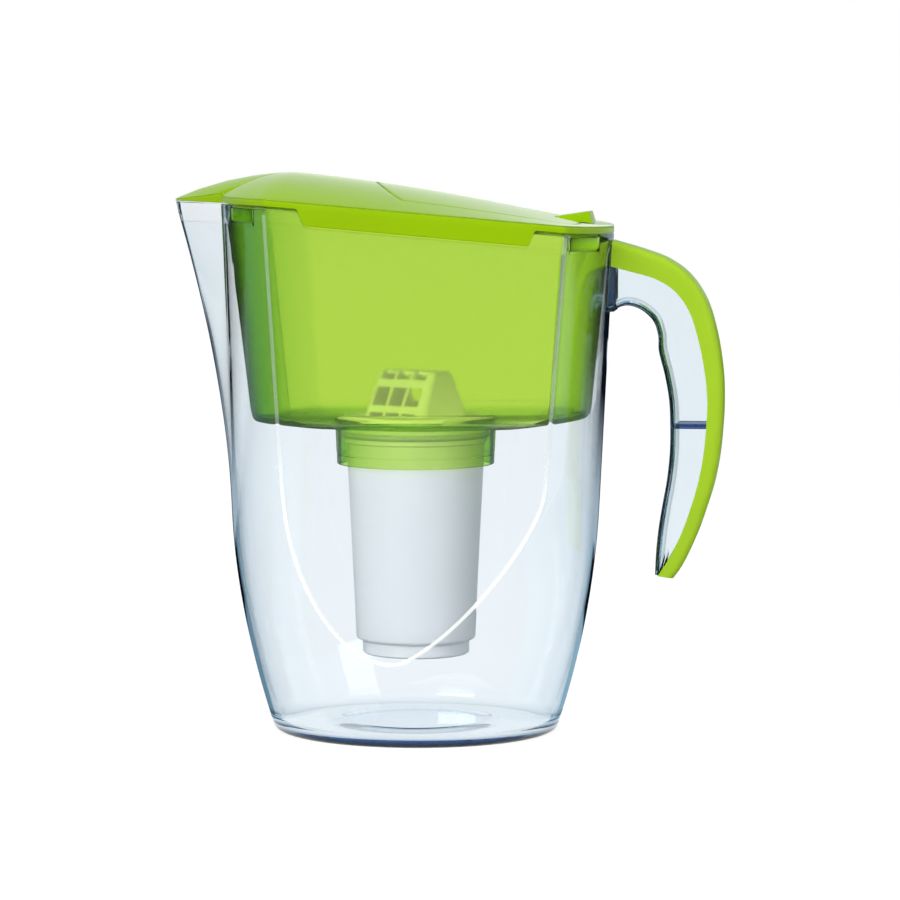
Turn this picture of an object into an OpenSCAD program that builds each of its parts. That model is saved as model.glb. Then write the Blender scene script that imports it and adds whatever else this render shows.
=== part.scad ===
// Water filter pitcher: clear jug with a clip-on handle cover, a hopper that hangs in it,
// a domed lid with a flip hatch, and a press-in gravity cartridge.
// Millimetres. Z is up, X runs from the spout (-) to the handle (+), and the origin is
// the middle of the base on the table, which is also the axis of the cartridge.

/* [Jug] */
// Height of the rim at the front corners of the flat sides
rim_h = 252.5; // [240:0.5:275]
// Fall of the rim towards the handle, in degrees
rim_tilt = 4.9; // [3:0.1:6]
// Length of the oval foot
base_len = 136; // [126:1:142]
// Width of the oval foot
base_wid = 125; // [116:1:126]
// Width between the flat sides at the rim
body_wid = 128; // [127:0.5:134]
// From the axis to the front wall at the rim, beside the spout
front_x = 93; // [88:0.5:100]
// From the axis to the rear wall at the rim
rear_x = 95.4; // [90:0.2:104]
// How far the spout stands in front of the front wall at the rim
spout_reach = 23.2; // [14:0.2:30]
// Half width of the spout where it leaves the front wall
spout_half = 24; // [18:0.5:30]
// Height at which the spout begins
spout_root_h = 105; // [80:5:140]
// Wall thickness of the jug
wall = 2.4; // [2:0.1:3]
// Thickness of the jug's floor
floor_t = 3.2; // [2.6:0.1:5]
// Depth of the pouring notch in the tip of the spout
lip_dip = 4.6; // [3:0.1:6]
// Height of the lowest point of the flat side panels
panel_tip_h = 39; // [30:1:60]

/* [Handle] */
// How far the handle stands behind the rear wall
handle_reach = 52.3; // [46:0.1:60]
// From the rim down to the tip of the handle
handle_drop = 177; // [150:1:190]
// Width of the clear handle channel
handle_wid = 22; // [18:0.5:28]
// Wall thickness of the handle cover
cover_t = 2.2; // [1.6:0.1:3]
// Height of the cross rib in the channel
rib_h = 148; // [120:1:170]

/* [Lid] */
// Height of the lid's outer side wall
lid_side = 3.8; // [3:0.1:6]
// Skin thickness of the lid and the hatch
skin = 2; // [1.6:0.1:2.4]
// Rise of the crest over the rim
crest_rise = 15.4; // [12:0.2:20]
// Depth of the aprons that fill the dips in the jug's sides
apron = 7.5; // [5:0.5:9]
// Width of the flip hatch
hatch_wid = 93; // [80:1:98]
// Front end of the hatch, from the axis
hatch_front = 18; // [10:1:24]
// Rear end of the hatch, from the axis
hatch_rear = 80; // [70:1:82]
// Width of the thumb tab
tab_wid = 24; // [16:1:34]
// Radius of the hatch's trunnions
trunnion_r = 1.8; // [1.4:0.1:2.2]

/* [Hopper] */
// Wall thickness of the hopper
hopper_t = 2; // [1.6:0.1:2.6]
// From the rim down to the hopper's floor
hopper_deep = 105; // [85:1:115]
// How much the hopper's sides draw in from top to bottom
hopper_draw = 10; // [4:0.5:12]
// Height of the seat band that hangs in the jug's rebate
band_h = 7.6; // [6:0.2:9]
// Height of the socket collar under the floor
collar_h = 18; // [14:0.5:24]
// Inner radius of the socket collar
collar_r = 36; // [34:0.5:38]

/* [Cartridge] */
// From the socket's flange down to the foot of the cartridge
cartridge_deep = 112; // [90:0.5:120]
// Wall thickness of the cartridge
cartridge_t = 1.5; // [1.2:0.1:2]
// Radius of the cartridge body under the flange
body_top_r = 33.2; // [30:0.1:33.4]
// Radius of the cartridge body at its lower end
body_low_r = 28.6; // [26:0.1:30]
// Radius of the foot
foot_r = 25.7; // [22:0.1:25.8]
// Height of the foot
foot_h = 6.8; // [5:0.1:9]
// Height of the windowed inlet hood over the flange
hood_h = 22.8; // [18:0.2:26]
// Turn of the inlet hood about the axis, in degrees
hood_turn = 28; // [0:1:45]

/* [Fits] */
// Clearance between pieces that lift off or swing
gap = 0.4; // [0.3:0.05:0.6]
// Radial play of a trunnion in its bearing
bearing_play = 0.08; // [0.05:0.01:0.1]

/* [Hidden] */

// How the walls draw in: slope per mm, and the height below which they round in to the foot
front_draft = 0.03;
rear_draft = 0.05;
tuck_h = 107;
// The flat side panels: where they meet the front and rear bows at the rim
corner_front_x = -63.4;
corner_rear_x = 78.2;
panel_mid_x = -2.9;
panel_round_h = 80;
// Rebate in the jug's rim that carries the hopper's seat band
rebate = 1.2;
rebate_h = band_h + 1.6;
nose_rise = 1.1;

function lerp(a, b, t) = a + (b - a) * t;
function unit(t) = min(1, max(0, t));
function ease(t) = let(u = unit(t)) u * u * (3 - 2 * u);

// ---- The jug's outline at height z, drawn in by w ----
// Columns run from the spout's tip to the middle of the rear wall, as [kind, place along it]:
// 0 spout, 1 front bow, 2 flat side, 3 rear bow. The pouring notch is cut out of the spout's
// tip, up to the place notch_half.
apron_from = -48.2;
apron_to = 64.4;
apron_end = 4.2;
side_len = corner_rear_x - corner_front_x;
function side_place(x) = (x - corner_front_x) / side_len;
side_xs = [apron_from, apron_from + apron_end / 2, apron_from + apron_end, -20, 8, 36,
    apron_to - apron_end, apron_to - apron_end / 2, apron_to];
notch_half = 0.105;
spout_places = [0, notch_half, notch_half + 0.03, 0.3, 0.62];
half_columns = concat(
    [for (t = spout_places) [0, t]],
    [for (i = [0 : 7]) [1, i / 8]],
    [[2, 0]],
    [for (x = side_xs) [2, side_place(x)]],
    [for (i = [0 : 8]) [3, i / 8]]);
half_n = len(half_columns);
ring_n = 2 * half_n - 2;
// Full ring, anticlockwise from the tip: [kind, place, side of the mirror plane]
columns = concat(
    [for (c = half_columns) [c[0], c[1], -1]],
    [for (i = [half_n - 2 : -1 : 1]) [half_columns[i][0], half_columns[i][1], 1]]);

function front_at(z) = front_x - front_draft * (rim_h - z)
    - (front_x - front_draft * rim_h - base_len / 2) * pow(1 - unit(z / tuck_h), 1.9);
function rear_at(z) = rear_x - rear_draft * (rim_h - z)
    - (rear_x - rear_draft * rim_h - base_len / 2) * pow(1 - unit(z / tuck_h), 2);
function side_at(z) = lerp(base_wid / 2, body_wid / 2,
    0.55 * ease(z / panel_tip_h) + 0.45 * unit(z / rim_h));
function mid_at(z) = panel_mid_x * ease(z / panel_tip_h);
function spout_at(z) =
    spout_reach * pow(max(0, (z - spout_root_h) / (rim_h - spout_root_h)), 1.65);
// The spout's plan: a soft swelling low down, a sharp V at the rim
function spout_shape(t, z) =
    let(k = ease((z - 150) / 80), r = 0.06,
        vee = 1 - (sqrt(t * t + r * r) - r) / (sqrt(1 + r * r) - r),
        swell = pow(1 - t * t, 2))
    lerp(swell, vee, k);
// Reach of the flat panel to the front and to the rear of its middle
function reach_front(z) = (panel_mid_x - corner_front_x - 0.063 * (rim_h - z))
    * pow(1 - pow(1 - unit((z - panel_tip_h) / panel_round_h), 2), 0.5);
function reach_rear(z) = (corner_rear_x - panel_mid_x - 0.078 * (rim_h - z))
    * pow(1 - pow(1 - unit((z - panel_tip_h) / panel_round_h), 1.4), 0.714);
least_reach = 15;

function outline(c, z, w, spout = 1) =
    let(mid = mid_at(z),
        side = side_at(z) - w,
        a = front_at(z) - w + mid,
        reach_f = max(reach_front(z) - w / 2, least_reach),
        reach_r = max(reach_rear(z) - w / 2, least_reach),
        x_side = lerp(mid - reach_f, mid + reach_r, c[1]),
        on_front = x_side < mid,
        a_s = on_front ? front_at(z) - w + mid : rear_at(z) - w - mid,
        r_s = max(0, (on_front ? reach_front(z) : reach_rear(z)) - w / 2),
        b_s = side / sqrt(1 - pow(r_s / a_s, 2)),
        y_side = min(side, b_s * sqrt(max(0, 1 - pow((x_side - mid) / a_s, 2)))),
        b_f = side / sqrt(1 - pow(max(0, reach_front(z) - w / 2) / a, 2)),
        a_r = rear_at(z) - w - mid,
        b_r = side / sqrt(1 - pow(max(0, reach_rear(z) - w / 2) / a_r, 2)),
        root = spout_half - 0.3 * w,
        turn_root = asin(root / b_f),
        turn = c[0] == 1 ? lerp(turn_root, acos(reach_f / a), c[1])
            : lerp(acos(reach_r / a_r), 0, c[1]),
        y_spout = root * c[1],
        x_nose = mid - a * sqrt(1 - pow(y_spout / b_f, 2)),
        beak = spout * max(0, spout_at(z) - 0.45 * w * unit(spout_at(z) / 4)))
    c[0] == 0 ? [x_nose - beak * spout_shape(c[1], z), c[2] * y_spout]
    : c[0] == 1 ? [mid - a * cos(turn), c[2] * b_f * sin(turn)]
    : c[0] == 2 ? [x_side, c[2] * y_side]
    : [mid + a_r * cos(turn), c[2] * b_r * sin(turn)];

// Height of the rim over a point of the plan
function rim_at(x) = x > corner_front_x
    ? rim_h - tan(rim_tilt) * (x - corner_front_x)
    : rim_h + nose_rise * (corner_front_x - x) / (front_x + spout_reach + corner_front_x);
rim_z = [for (c = columns) rim_at(outline(c, rim_h, 0)[0])];
// Rings lie flat at the foot and take up the rim's slope as they rise
level_h = 12;
function level(i, h) = h + (rim_z[i] - rim_h) * max(0, h - level_h) / (rim_h - level_h);
function apron_share(x) = x < 0 ? ease((x - apron_from) / apron_end)
    : ease((apron_to - x) / apron_end);
function is_side(c) = c[0] == 2 && c[1] > 0.02 && c[1] < 0.98;
function apron_dip(i) = is_side(columns[i])
    ? apron * apron_share(outline(columns[i], rim_h, 0)[0]) : 0;
function notch(i) = columns[i][0] == 0 && columns[i][1] <= notch_half ? lip_dip : 0;

// ---- Solids from rings of points ----
// Triangles between ring k and ring k + 1, each of n points, in a run of rings
function skin_faces(n, k) = [for (j = [0 : n - 1]) let(j2 = (j + 1) % n, a = k * n, b = a + n)
    each [[a + j, b + j, b + j2], [a + j, b + j2, a + j2]]];
// A run of rings closed by its own first and last ring
module ring_stack(rings) {
    n = len(rings[0]);
    m = len(rings);
    polyhedron(points = [for (r = rings) each r], faces = concat(
        [[for (j = [0 : n - 1]) j]],
        [for (k = [0 : m - 2]) each skin_faces(n, k)],
        [[for (j = [n - 1 : -1 : 0]) (m - 1) * n + j]]));
}
// Rings whose last ring meets the first: a wall all round a hole
module ring_loop(rings) {
    n = len(rings[0]);
    m = len(rings);
    polyhedron(points = [for (r = rings) each r], faces =
        [for (k = [0 : m - 1]) each [for (f = skin_faces(n, k)) [for (p = f) p % (n * m)]]]);
}
// A strip of double-sided sections: each ring runs along one side and back along the other
module ring_strip(rings) {
    n = len(rings[0]);
    m = len(rings);
    last = (m - 1) * n;
    polyhedron(points = [for (r = rings) each r], faces = concat(
        [for (k = [0 : m - 2]) each [for (f = skin_faces(n, k)) [f[2], f[1], f[0]]]],
        [for (j = [0 : n / 2 - 2]) each [[n - 2 - j, j + 1, j], [n - 1 - j, n - 2 - j, j]]],
        [for (j = [0 : n / 2 - 2]) each [[last + n - 2 - j, last + j, last + j + 1],
            [last + n - 1 - j, last + j, last + n - 2 - j]]]));
}

// ---- Jug ----
outer_levels = [4, 9, 16, 24, 32, 39, 46, 54, 63, 73, 84, 96, 110, 128, 148, 168, 188, 206,
    222, 234];
function jug_ring(h, w) = [for (i = [0 : ring_n - 1])
    let(z = level(i, h), p = outline(columns[i], z, w)) [p[0], p[1], z]];
function rim_point(i, drop, w, spout = 1) = outline(columns[i], rim_z[i] - drop, w, spout);
function rim_ring(drop, w, dips = 0) = [for (i = [0 : ring_n - 1])
    let(z = rim_z[i] - drop, p = rim_point(i, drop, w),
        d = dips ? notch(i) + apron_dip(i) + (apron_dip(i) > 0 ? gap : 0) : 0)
    [p[0], p[1], z - d]];
foot_step = 43.5;
foot_recess = 1;
module jug_shell() {
    ring_stack(concat(
        [jug_ring(0, 2.6), jug_ring(0.8, 0.9), jug_ring(2.2, 0.15)],
        [for (h = outer_levels) jug_ring(h, 0)],
        [rim_ring(rebate_h, 0), rim_ring(0, 0, 1), rim_ring(0, wall - rebate, 1),
            rim_ring(rebate_h, wall - rebate), rim_ring(rebate_h, wall)],
        [for (k = [len(outer_levels) - 1 : -1 : 1]) jug_ring(outer_levels[k], wall)],
        [jug_ring(floor_t + 2.4, wall + 0.5), jug_ring(floor_t + 0.7, wall + 2),
            jug_ring(floor_t, wall + 4.6)]));
}

// ---- Seat lugs of the hopper, each in a pocket of the jug's rim: [bow, from, to] ----
lug_spans = [[1, 0.35, 0.82], [3, 0.06, 0.53]];
pocket_deep = 7.6;
// How far a pocket's cut runs inward and outward from the chord of the wall's outer face
pocket_in = 1.9;
pocket_out = 4;
// How far a lug runs into the seat band behind it
lug_root = 0.8;
lug_drop = 1.2;
// A block along a lug's span: y from the wall's outer face outward, z from the rim
module lug_box(span, side, y_in, y_out, low, high, trim) {
    z = span[0] == 1 ? rim_h : rim_at(rear_x - 10);
    a = outline([span[0], span[1], side], z, 0);
    b = outline([span[0], span[2], side], z, 0);
    m = (a + b) / 2;
    l = norm(b - a) - 2 * trim;
    translate([m[0], m[1], rim_at(m[0])]) rotate([0, 0, atan2(b[1] - a[1], b[0] - a[0])])
        translate([-l / 2, side > 0 ? y_in : -y_out, low]) cube([l, y_out - y_in, high - low]);
}

// ---- Handle: stations along its length, [from the rear wall, below the rim] ----
handle_inner = [[0, 51], [6.3, 47.6], [12.5, 49.2], [18.6, 54.5], [21.1, 61.5], [21.5, 69],
    [24.4, 80.5], [26.5, 92.5], [27.1, 105], [26.9, 118], [25.5, 131], [23.4, 143],
    [21.6, 155], [20.6, 166], [20.3, 175.5]];
handle_outer = [[0, 16.7], [14.6, 21], [26, 25.6], [36, 33], [44, 45], [48.9, 61],
    [51.7, 78.5], [52.3, 92.5], [51.8, 105], [50.4, 119.5], [47.9, 132.5], [44.6, 143.5],
    [40.1, 156.5], [34.1, 169.5], [29.1, 176.9]];
stations = len(handle_inner);
sub = 3;
function knot(list, i) = list[min(len(list) - 1, max(0, i))];
function curve(list, s) =
    let(i = min(floor(s), len(list) - 2), t = s - i, p0 = knot(list, i - 1), p1 = list[i],
        p2 = list[i + 1], p3 = knot(list, i + 2))
    0.5 * (2 * p1 + (p2 - p0) * t + (2 * p0 - 5 * p1 + 4 * p2 - p3) * t * t
        + (3 * p1 - p0 - 3 * p2 + p3) * t * t * t);
reach_scale = handle_reach / 52.3;
drop_scale = handle_drop / 177;
// A station point in the X-Z plane. The first stations start at the rear wall.
function handle_point(list, s) = let(p = curve(list, s), z = rim_h - p[1] * drop_scale)
    [rear_x + p[0] * reach_scale - (rear_x - rear_at(z)) * (1 - unit(s / 2)), z];
handle_steps = [for (k = [0 : (stations - 1) * sub]) k / sub];
cover_top_depth = 12;
cover_low_depth = 7.4;
cover_round = 3.4;
channel_seat = cover_t + cover_round + 0.2;
function cover_depth(s) = lerp(cover_top_depth, cover_low_depth, unit(s / 7));
// A section at station s from [across, depth in from the outer curve] pairs
function section(s, pairs) =
    let(o = handle_point(handle_outer, s), i = handle_point(handle_inner, s),
        d = (i - o) / norm(i - o))
    [for (p = pairs) [o[0] + d[0] * p[1], p[0], o[1] + d[1] * p[1]]];
function both_sides(half) = concat(half, [for (k = [len(half) - 1 : -1 : 0])
    [-half[k][0], half[k][1]]]);
function channel_half(s, w) =
    let(deep = norm(handle_point(handle_inner, s) - handle_point(handle_outer, s)) - w,
        h = handle_wid / 2 - w, r = min(4, deep / 3))
    [[h, channel_seat], [h, deep - r], [h - 0.3 * r, deep - 0.3 * r], [h - r, deep]];
module handle_channel() {
    ring_strip([for (s = handle_steps)
        let(into = s < 0.01 ? 1.4 : 0,
            out = section(s, both_sides(channel_half(s, 0))),
            in = section(s, both_sides(channel_half(s, wall * 0.9))),
            loop = concat(out, [for (k = [len(in) - 1 : -1 : 0]) in[k]]))
        [for (p = loop) [p[0] - into, p[1], p[2]]]]);
}
module channel_rib() {
    s = handle_point(handle_outer, 8);
    i = handle_point(handle_inner, 8);
    w = handle_wid - wall;
    translate([i[0] + wall / 2, -w / 2, rib_h - 1.2])
        cube([s[0] - i[0] - wall / 2 - cover_t - 1, w, 2.4]);
}
module jug() {
    color([0.86, 0.93, 0.98, 0.4]) difference() {
        union() {
            jug_shell();
            handle_channel();
            channel_rib();
        }
        translate([0, 0, -1]) cylinder(r = foot_step, h = 1 + foot_recess, $fn = 96);
        for (span = lug_spans, side = [-1, 1])
            lug_box(span, side, -pocket_in, pocket_out, -pocket_deep, pocket_out, 0);
    }
}

// ---- Handle cover: a shell clipped over the open side of the channel ----
cover_play = 0.15;
function cover_half(s, w) =
    let(h = handle_wid / 2 + cover_play + cover_t - w, r = cover_round)
    [[h, cover_depth(s)], [h, r + w], [h - 0.3 * r, 0.3 * r + w], [h - r, 0.05 * r + w],
        [0.4 * h, w]];
module handle_cover() {
    color("yellowgreen") ring_strip([for (s = handle_steps)
        let(out_of_wall = s < 0.01 ? gap : 0,
            out = section(s, both_sides(cover_half(s, 0))),
            in = section(s, both_sides(cover_half(s, cover_t))),
            loop = concat(in, [for (k = [len(out) - 1 : -1 : 0]) out[k]]))
        [for (p = loop) [p[0] + out_of_wall, p[1], p[2]]]]);
}

// ---- Lid: heights of its top over the plan ----
crest_x = -57.4;
tip_x = -(front_x + spout_reach);
crest_z = rim_h + crest_rise;
bill_back_x = -61;
function crest_at(x) = x > crest_x
    ? crest_z - 0.1 * (x - crest_x) - 0.00052 * pow(x - crest_x, 2)
    : crest_z - (crest_z - rim_at(tip_x) - 1.6) * pow((crest_x - x) / (crest_x - tip_x), 2);
function side_top_at(x) = rim_at(x) + lid_side;
// Half width of the plan over x, without the spout
function plan_half(x) = let(a = x < panel_mid_x ? front_x + panel_mid_x : rear_x - panel_mid_x,
        corner = x < panel_mid_x ? panel_mid_x - corner_front_x : corner_rear_x - panel_mid_x,
        b = body_wid / 2 / sqrt(1 - pow(corner / a, 2)))
    min(body_wid / 2, b * sqrt(max(0.0001, 1 - pow((x - panel_mid_x) / a, 2))));
function dome(x, y) =
    let(half = plan_half(x), t = unit(abs(y) / half),
        fore = unit((crest_x - x) / (crest_x + front_x)),
        top = lerp(crest_at(max(x, crest_x)), side_top_at(x) + 0.5, fore * fore))
    lerp(max(top, side_top_at(x)), side_top_at(x), t * t);
root_x = -(front_x - 2.6);
function bill_half(x) = x < root_x ? spout_half * unit((x - tip_x) / (root_x - tip_x))
    : spout_half * sqrt(unit((bill_back_x - x) / (bill_back_x - root_x)));
function bill_edge(x) = x < root_x
    ? lerp(rim_at(tip_x) + 1.6, rim_h + 7.6, pow(unit((x - tip_x) / (root_x - tip_x)), 1.2))
    : lerp(rim_h + 7.6, crest_z, pow(unit((x - root_x) / (bill_back_x - root_x)), 0.8));
function bill(x, y) = let(half = max(0.01, bill_half(x)), t = abs(y) / half)
    t > 1.02 || x > bill_back_x ? 0
    : lerp(max(crest_at(x), bill_edge(x)), bill_edge(x), unit(t) * unit(t));
function lid_top(x, y) = max(dome(x, y), bill(x, y));

// ---- The hatch's outline, on the same columns ----
hatch_bow_x = 0;
hatch_corner = 9;
function hatch_point(c, w) =
    let(half = hatch_wid / 2 - w, bow = hatch_bow_x + hatch_front - w,
        rear = hatch_rear - w, r = hatch_corner)
    c[0] < 2 ? let(turn = c[0] == 0 ? 25 * c[1] : lerp(25, 90, c[1]))
        [hatch_bow_x - bow * cos(turn), c[2] * half * sin(turn)]
    : c[0] == 2 ? [lerp(hatch_bow_x, rear - r, c[1]), c[2] * half]
    : c[1] < 0.51 ? let(turn = 180 * c[1])
        [rear - r + r * sin(turn), c[2] * (half - r + r * cos(turn))]
    : [rear, c[2] * (half - r) * 2 * (1 - c[1])];
// The hole's edge leans outward below its top edge, so the hatch's nose can dip through it
undercut = 0.6;
// From the lid's edge (v = 0) to the hatch's outline (v = 1)
function roof_point(i, v, low) =
    let(p = rim_point(i, 0, 0), q = hatch_point(columns[i], -gap - low * undercut),
        x = lerp(p[0], q[0], v), y = lerp(p[1], q[1], v))
    [x, y, lid_top(x, y) - low];
function edge_top(i) = let(c = columns[i], p = rim_point(i, 0, 0))
    c[0] == 0 || (c[0] == 1 && c[1] < 0.01) ? bill_edge(p[0]) : side_top_at(p[0]);
function flat_ring(w, up, dips = 0, spout = 1) = [for (i = [0 : ring_n - 1])
    let(p = rim_point(i, 0, w, spout)) [p[0], p[1], rim_z[i] + up - dips * apron_dip(i)]];

// ---- Lid: a shell with a rim step, side aprons and a skirt that drops into the hopper ----
skirt_t = 1.4;
skirt_h = 4;
skirt_in = wall + 2 * gap + hopper_t;
rim_rest = wall - rebate;
step_up = 0.3;
module lid_shell() {
    ring_loop(concat(
        [flat_ring(0, gap, 1)],
        [[for (i = [0 : ring_n - 1]) let(p = rim_point(i, 0, 0)) [p[0], p[1], edge_top(i)]]],
        [for (v = [0.04, 0.12, 0.25, 0.4, 0.55, 0.7, 0.85, 1])
            [for (i = [0 : ring_n - 1]) roof_point(i, v, 0)]],
        [for (v = [1, 0.8, 0.6, 0.4, 0.22])
            [for (i = [0 : ring_n - 1]) roof_point(i, v, skin)]],
        [flat_ring(skirt_in + skirt_t, gap + 2 * step_up, 0, 0),
            flat_ring(skirt_in + skirt_t, -skirt_h, 0, 0),
            flat_ring(skirt_in, -skirt_h, 0, 0),
            flat_ring(skirt_in, gap + step_up, 0, 0),
            flat_ring(rim_rest + 0.05, gap + step_up),
            flat_ring(rim_rest, gap, 1)]));
}
// The hatch turns on two trunnions in bosses under the lid's skin
hinge_x = 6;
hinge_drop = 5.3;
hinge_z = lid_top(hinge_x, hatch_wid / 2) - hinge_drop;
boss_r = 3.4;
boss_in = hatch_wid / 2 + gap + skin * undercut;
boss_t = 3.8;
ear_r = 3.2;
ear_t = 3.5;
ear_out = hatch_wid / 2 - 1;
// A drum on the hinge's axis from y0 to y0 + t, with a web up to height top
module hinge_lug(r, y0, t, top) {
    translate([hinge_x, y0 + t, hinge_z]) rotate([90, 0, 0]) cylinder(r = r, h = t, $fn = 48);
    translate([hinge_x - r, y0, hinge_z]) cube([2 * r, t, top - hinge_z]);
}
module bearing_bore() {
    reach = boss_in + boss_t + 1;
    translate([hinge_x, reach, hinge_z]) rotate([90, 0, 0])
        cylinder(r = trunnion_r + bearing_play, h = 2 * reach, $fn = 48);
}
module lid() {
    boss_top = lid_top(hinge_x + boss_r, boss_in + boss_t) - 0.5;
    color("yellowgreen") difference() {
        union() {
            lid_shell();
            hinge_lug(boss_r, boss_in, boss_t, boss_top);
            hinge_lug(boss_r, -boss_in - boss_t, boss_t, boss_top);
        }
        bearing_bore();
    }
}

// ---- Flip hatch: a skin with a thumb tab behind and two ears with trunnions below ----
edge_lean = 0.5;
tab_run = 14;
tab_rise = 5.5;
tab_over = 5.5;
module hatch_shell() {
    top = [for (v = [1, 0.8, 0.6, 0.4, 0.2]) [for (c = columns)
        let(q = hatch_point(c, 0), x = lerp(30, q[0], v), y = q[1] * v)
        [x, y, lid_top(x, y)]]];
    low = [for (v = [1, 0.8, 0.6, 0.4, 0.2]) [for (c = columns)
        let(q = hatch_point(c, edge_lean), x = lerp(30, q[0], v), y = q[1] * v)
        [x, y, lid_top(x, y) - skin]]];
    ring_stack(concat([for (k = [len(low) - 1 : -1 : 0]) low[k]], top));
}
module thumb_tab() {
    x = hatch_rear;
    translate([0, tab_wid / 2, 0]) rotate([90, 0, 0]) linear_extrude(tab_wid) polygon([
        [x - tab_run, lid_top(x - tab_run, 0) - 0.5],
        [x + 1.8, lid_top(x, 0) + tab_rise - 0.3],
        [x + 2.6, lid_top(x, 0) + tab_rise],
        [x + 3.2, lid_top(x, 0) + tab_rise - 0.4],
        [x + tab_over, lid_top(x + tab_over, 0) + gap],
        [x - 0.2, lid_top(x, 0) + gap],
        [x - 1.6, lid_top(x, 0) - 1]]);
}
module trunnion(y0) {
    pin_l = boss_in + boss_t - gap - ear_out + ear_t;
    translate([hinge_x, y0 + pin_l, hinge_z]) rotate([90, 0, 0])
        cylinder(r = trunnion_r, h = pin_l, $fn = 48);
}
module flip_hatch() {
    ear_top = lid_top(hinge_x + ear_r, ear_out) - 0.8;
    color("yellowgreen") union() {
        hatch_shell();
        thumb_tab();
        hinge_lug(ear_r, ear_out - ear_t, ear_t, ear_top);
        hinge_lug(ear_r, -ear_out, ear_t, ear_top);
        trunnion(ear_out - ear_t);
        trunnion(-(boss_in + boss_t - gap));
    }
}

// ---- Hopper: a seat band in the jug's rebate, drawn-in walls, a dished floor and a socket ----
band_in = rim_rest + gap;
band_drop = rebate_h - gap - band_h;
body_in = wall + gap;
// How far each wall draws in at the bottom, as a share of the nominal draw
nose_draw = 1.15;
tail_draw = 0.8;
side_draw = 1.3;
socket_z = rim_h - hopper_deep + 1;
collar_t = 2;
collar_foot = socket_z - 2 - collar_h;
// Underside of the floor at its edge
function floor_at(x) = socket_z + 0.5 + 0.014 * (x + front_x);
function hopper_point(i, s, w) =
    let(p = rim_point(i, rebate_h, body_in + w, 0),
        kx = p[0] < 0 ? nose_draw * hopper_draw / front_x : tail_draw * hopper_draw / rear_x)
    [p[0] * (1 - kx * s), p[1] * (1 - side_draw * hopper_draw * s / (body_wid / 2))];
function hopper_ring(s, w, up = 0) = [for (i = [0 : ring_n - 1])
    let(p = hopper_point(i, s, w), z = lerp(rim_z[i] - rebate_h, floor_at(p[0]), s))
    [p[0], p[1], z + up]];
function band_ring(w, drop) = [for (i = [0 : ring_n - 1])
    let(p = rim_point(i, drop, w, 0)) [p[0], p[1], rim_z[i] - drop]];
// A ring of the floor, from the wall (v = 0) to the socket (v = 1)
function floor_ring(v, w, up) = [for (i = [0 : ring_n - 1])
    let(p = hopper_point(i, 1, w), d = norm(p), r = collar_r + 1, q = [p[0] * r / d, p[1] * r / d],
        z = lerp(floor_at(p[0]), socket_z - hopper_t, 1 - pow(1 - v, 2)))
    [lerp(p[0], q[0], v), lerp(p[1], q[1], v), z + up]];
module hopper_shell() {
    ring_loop(concat(
        [floor_ring(1, 2.6, 0), floor_ring(0.6, 2.6, 0), floor_ring(0.25, 2.6, 0),
            hopper_ring(1, 2.6), hopper_ring(1, 0.9, 0.7), hopper_ring(1, 0.1, 2.6)],
        [for (s = [0.8, 0.55, 0.3, 0.1]) hopper_ring(s, 0)],
        [hopper_ring(0, 0.05), band_ring(band_in, band_drop + band_h),
            band_ring(band_in, band_drop), band_ring(band_in + hopper_t, band_drop),
            band_ring(body_in + hopper_t, band_drop + band_h)],
        [for (s = [0.1, 0.3, 0.55, 0.8]) hopper_ring(s, hopper_t)],
        [hopper_ring(1, hopper_t + 0.1, 3.4), hopper_ring(1, hopper_t + 1.3, 2.4),
            floor_ring(0.25, 2.6, hopper_t), floor_ring(0.6, 2.6, hopper_t),
            floor_ring(1, 2.6, hopper_t)]));
}
module socket_collar() {
    r = collar_r + collar_t;
    groove_z = collar_foot + 5;
    rotate_extrude($fn = 128) polygon([[collar_r, collar_foot], [r - 0.3, collar_foot],
        [r - 0.1, groove_z - 0.4], [r - 0.5, groove_z - 0.2], [r - 0.5, groove_z + 0.4],
        [r, groove_z + 0.6], [r + 0.5, socket_z - 2.2], [r + 0.5, socket_z],
        [collar_r, socket_z]]);
}
module hopper() {
    color([0.5, 0.75, 0.1, 0.6]) union() {
        hopper_shell();
        socket_collar();
        for (span = lug_spans, side = [-1, 1])
            lug_box(span, side, -band_in - lug_root, 0, gap - pocket_deep, -lug_drop, gap);
    }
}

// ---- Cartridge: a drafted shell hung by its flange in the socket ----
flange_z = socket_z + gap;
flange_t = 1.2;
flange_r = collar_r + 1.5;
neck_r = collar_r - 1.8;
neck_h = 10;
body_foot_z = flange_z - cartridge_deep + foot_h;
seal_z = flange_z - 7.4;
seal_h = 3;
fit = 0.05;
outlet_r = foot_r - 2;
function shell_r(z) = lerp(body_low_r, body_top_r,
    pow(unit((z - body_foot_z) / (flange_z - neck_h - body_foot_z)), 1.1));
body_levels = [for (k = [0 : 6]) lerp(body_foot_z + 2, flange_z - neck_h, k / 6)];
module cartridge_shell() {
    t = cartridge_t;
    color("whitesmoke") rotate_extrude($fn = 128) polygon(concat(
        [[outlet_r, body_foot_z], [body_low_r - 1.6, body_foot_z],
            [body_low_r - 0.5, body_foot_z + 0.5], [body_low_r - 0.05, body_foot_z + 1.4]],
        [for (z = body_levels) [shell_r(z), z]],
        [[neck_r, flange_z - neck_h + 0.6], [neck_r, seal_z],
            [neck_r - 0.8, seal_z], [neck_r - 0.8, seal_z + seal_h],
            [neck_r, seal_z + seal_h], [neck_r, flange_z], [flange_r, flange_z],
            [flange_r, flange_z + flange_t - 0.5], [flange_r - 0.5, flange_z + flange_t],
            [neck_r - t - 1, flange_z + flange_t], [neck_r - t - 1, flange_z - neck_h + 0.6]],
        [for (k = [6 : -1 : 0]) [shell_r(body_levels[k]) - t, body_levels[k] - 0.2]],
        [[outlet_r, body_foot_z + t]]));
}
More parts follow.
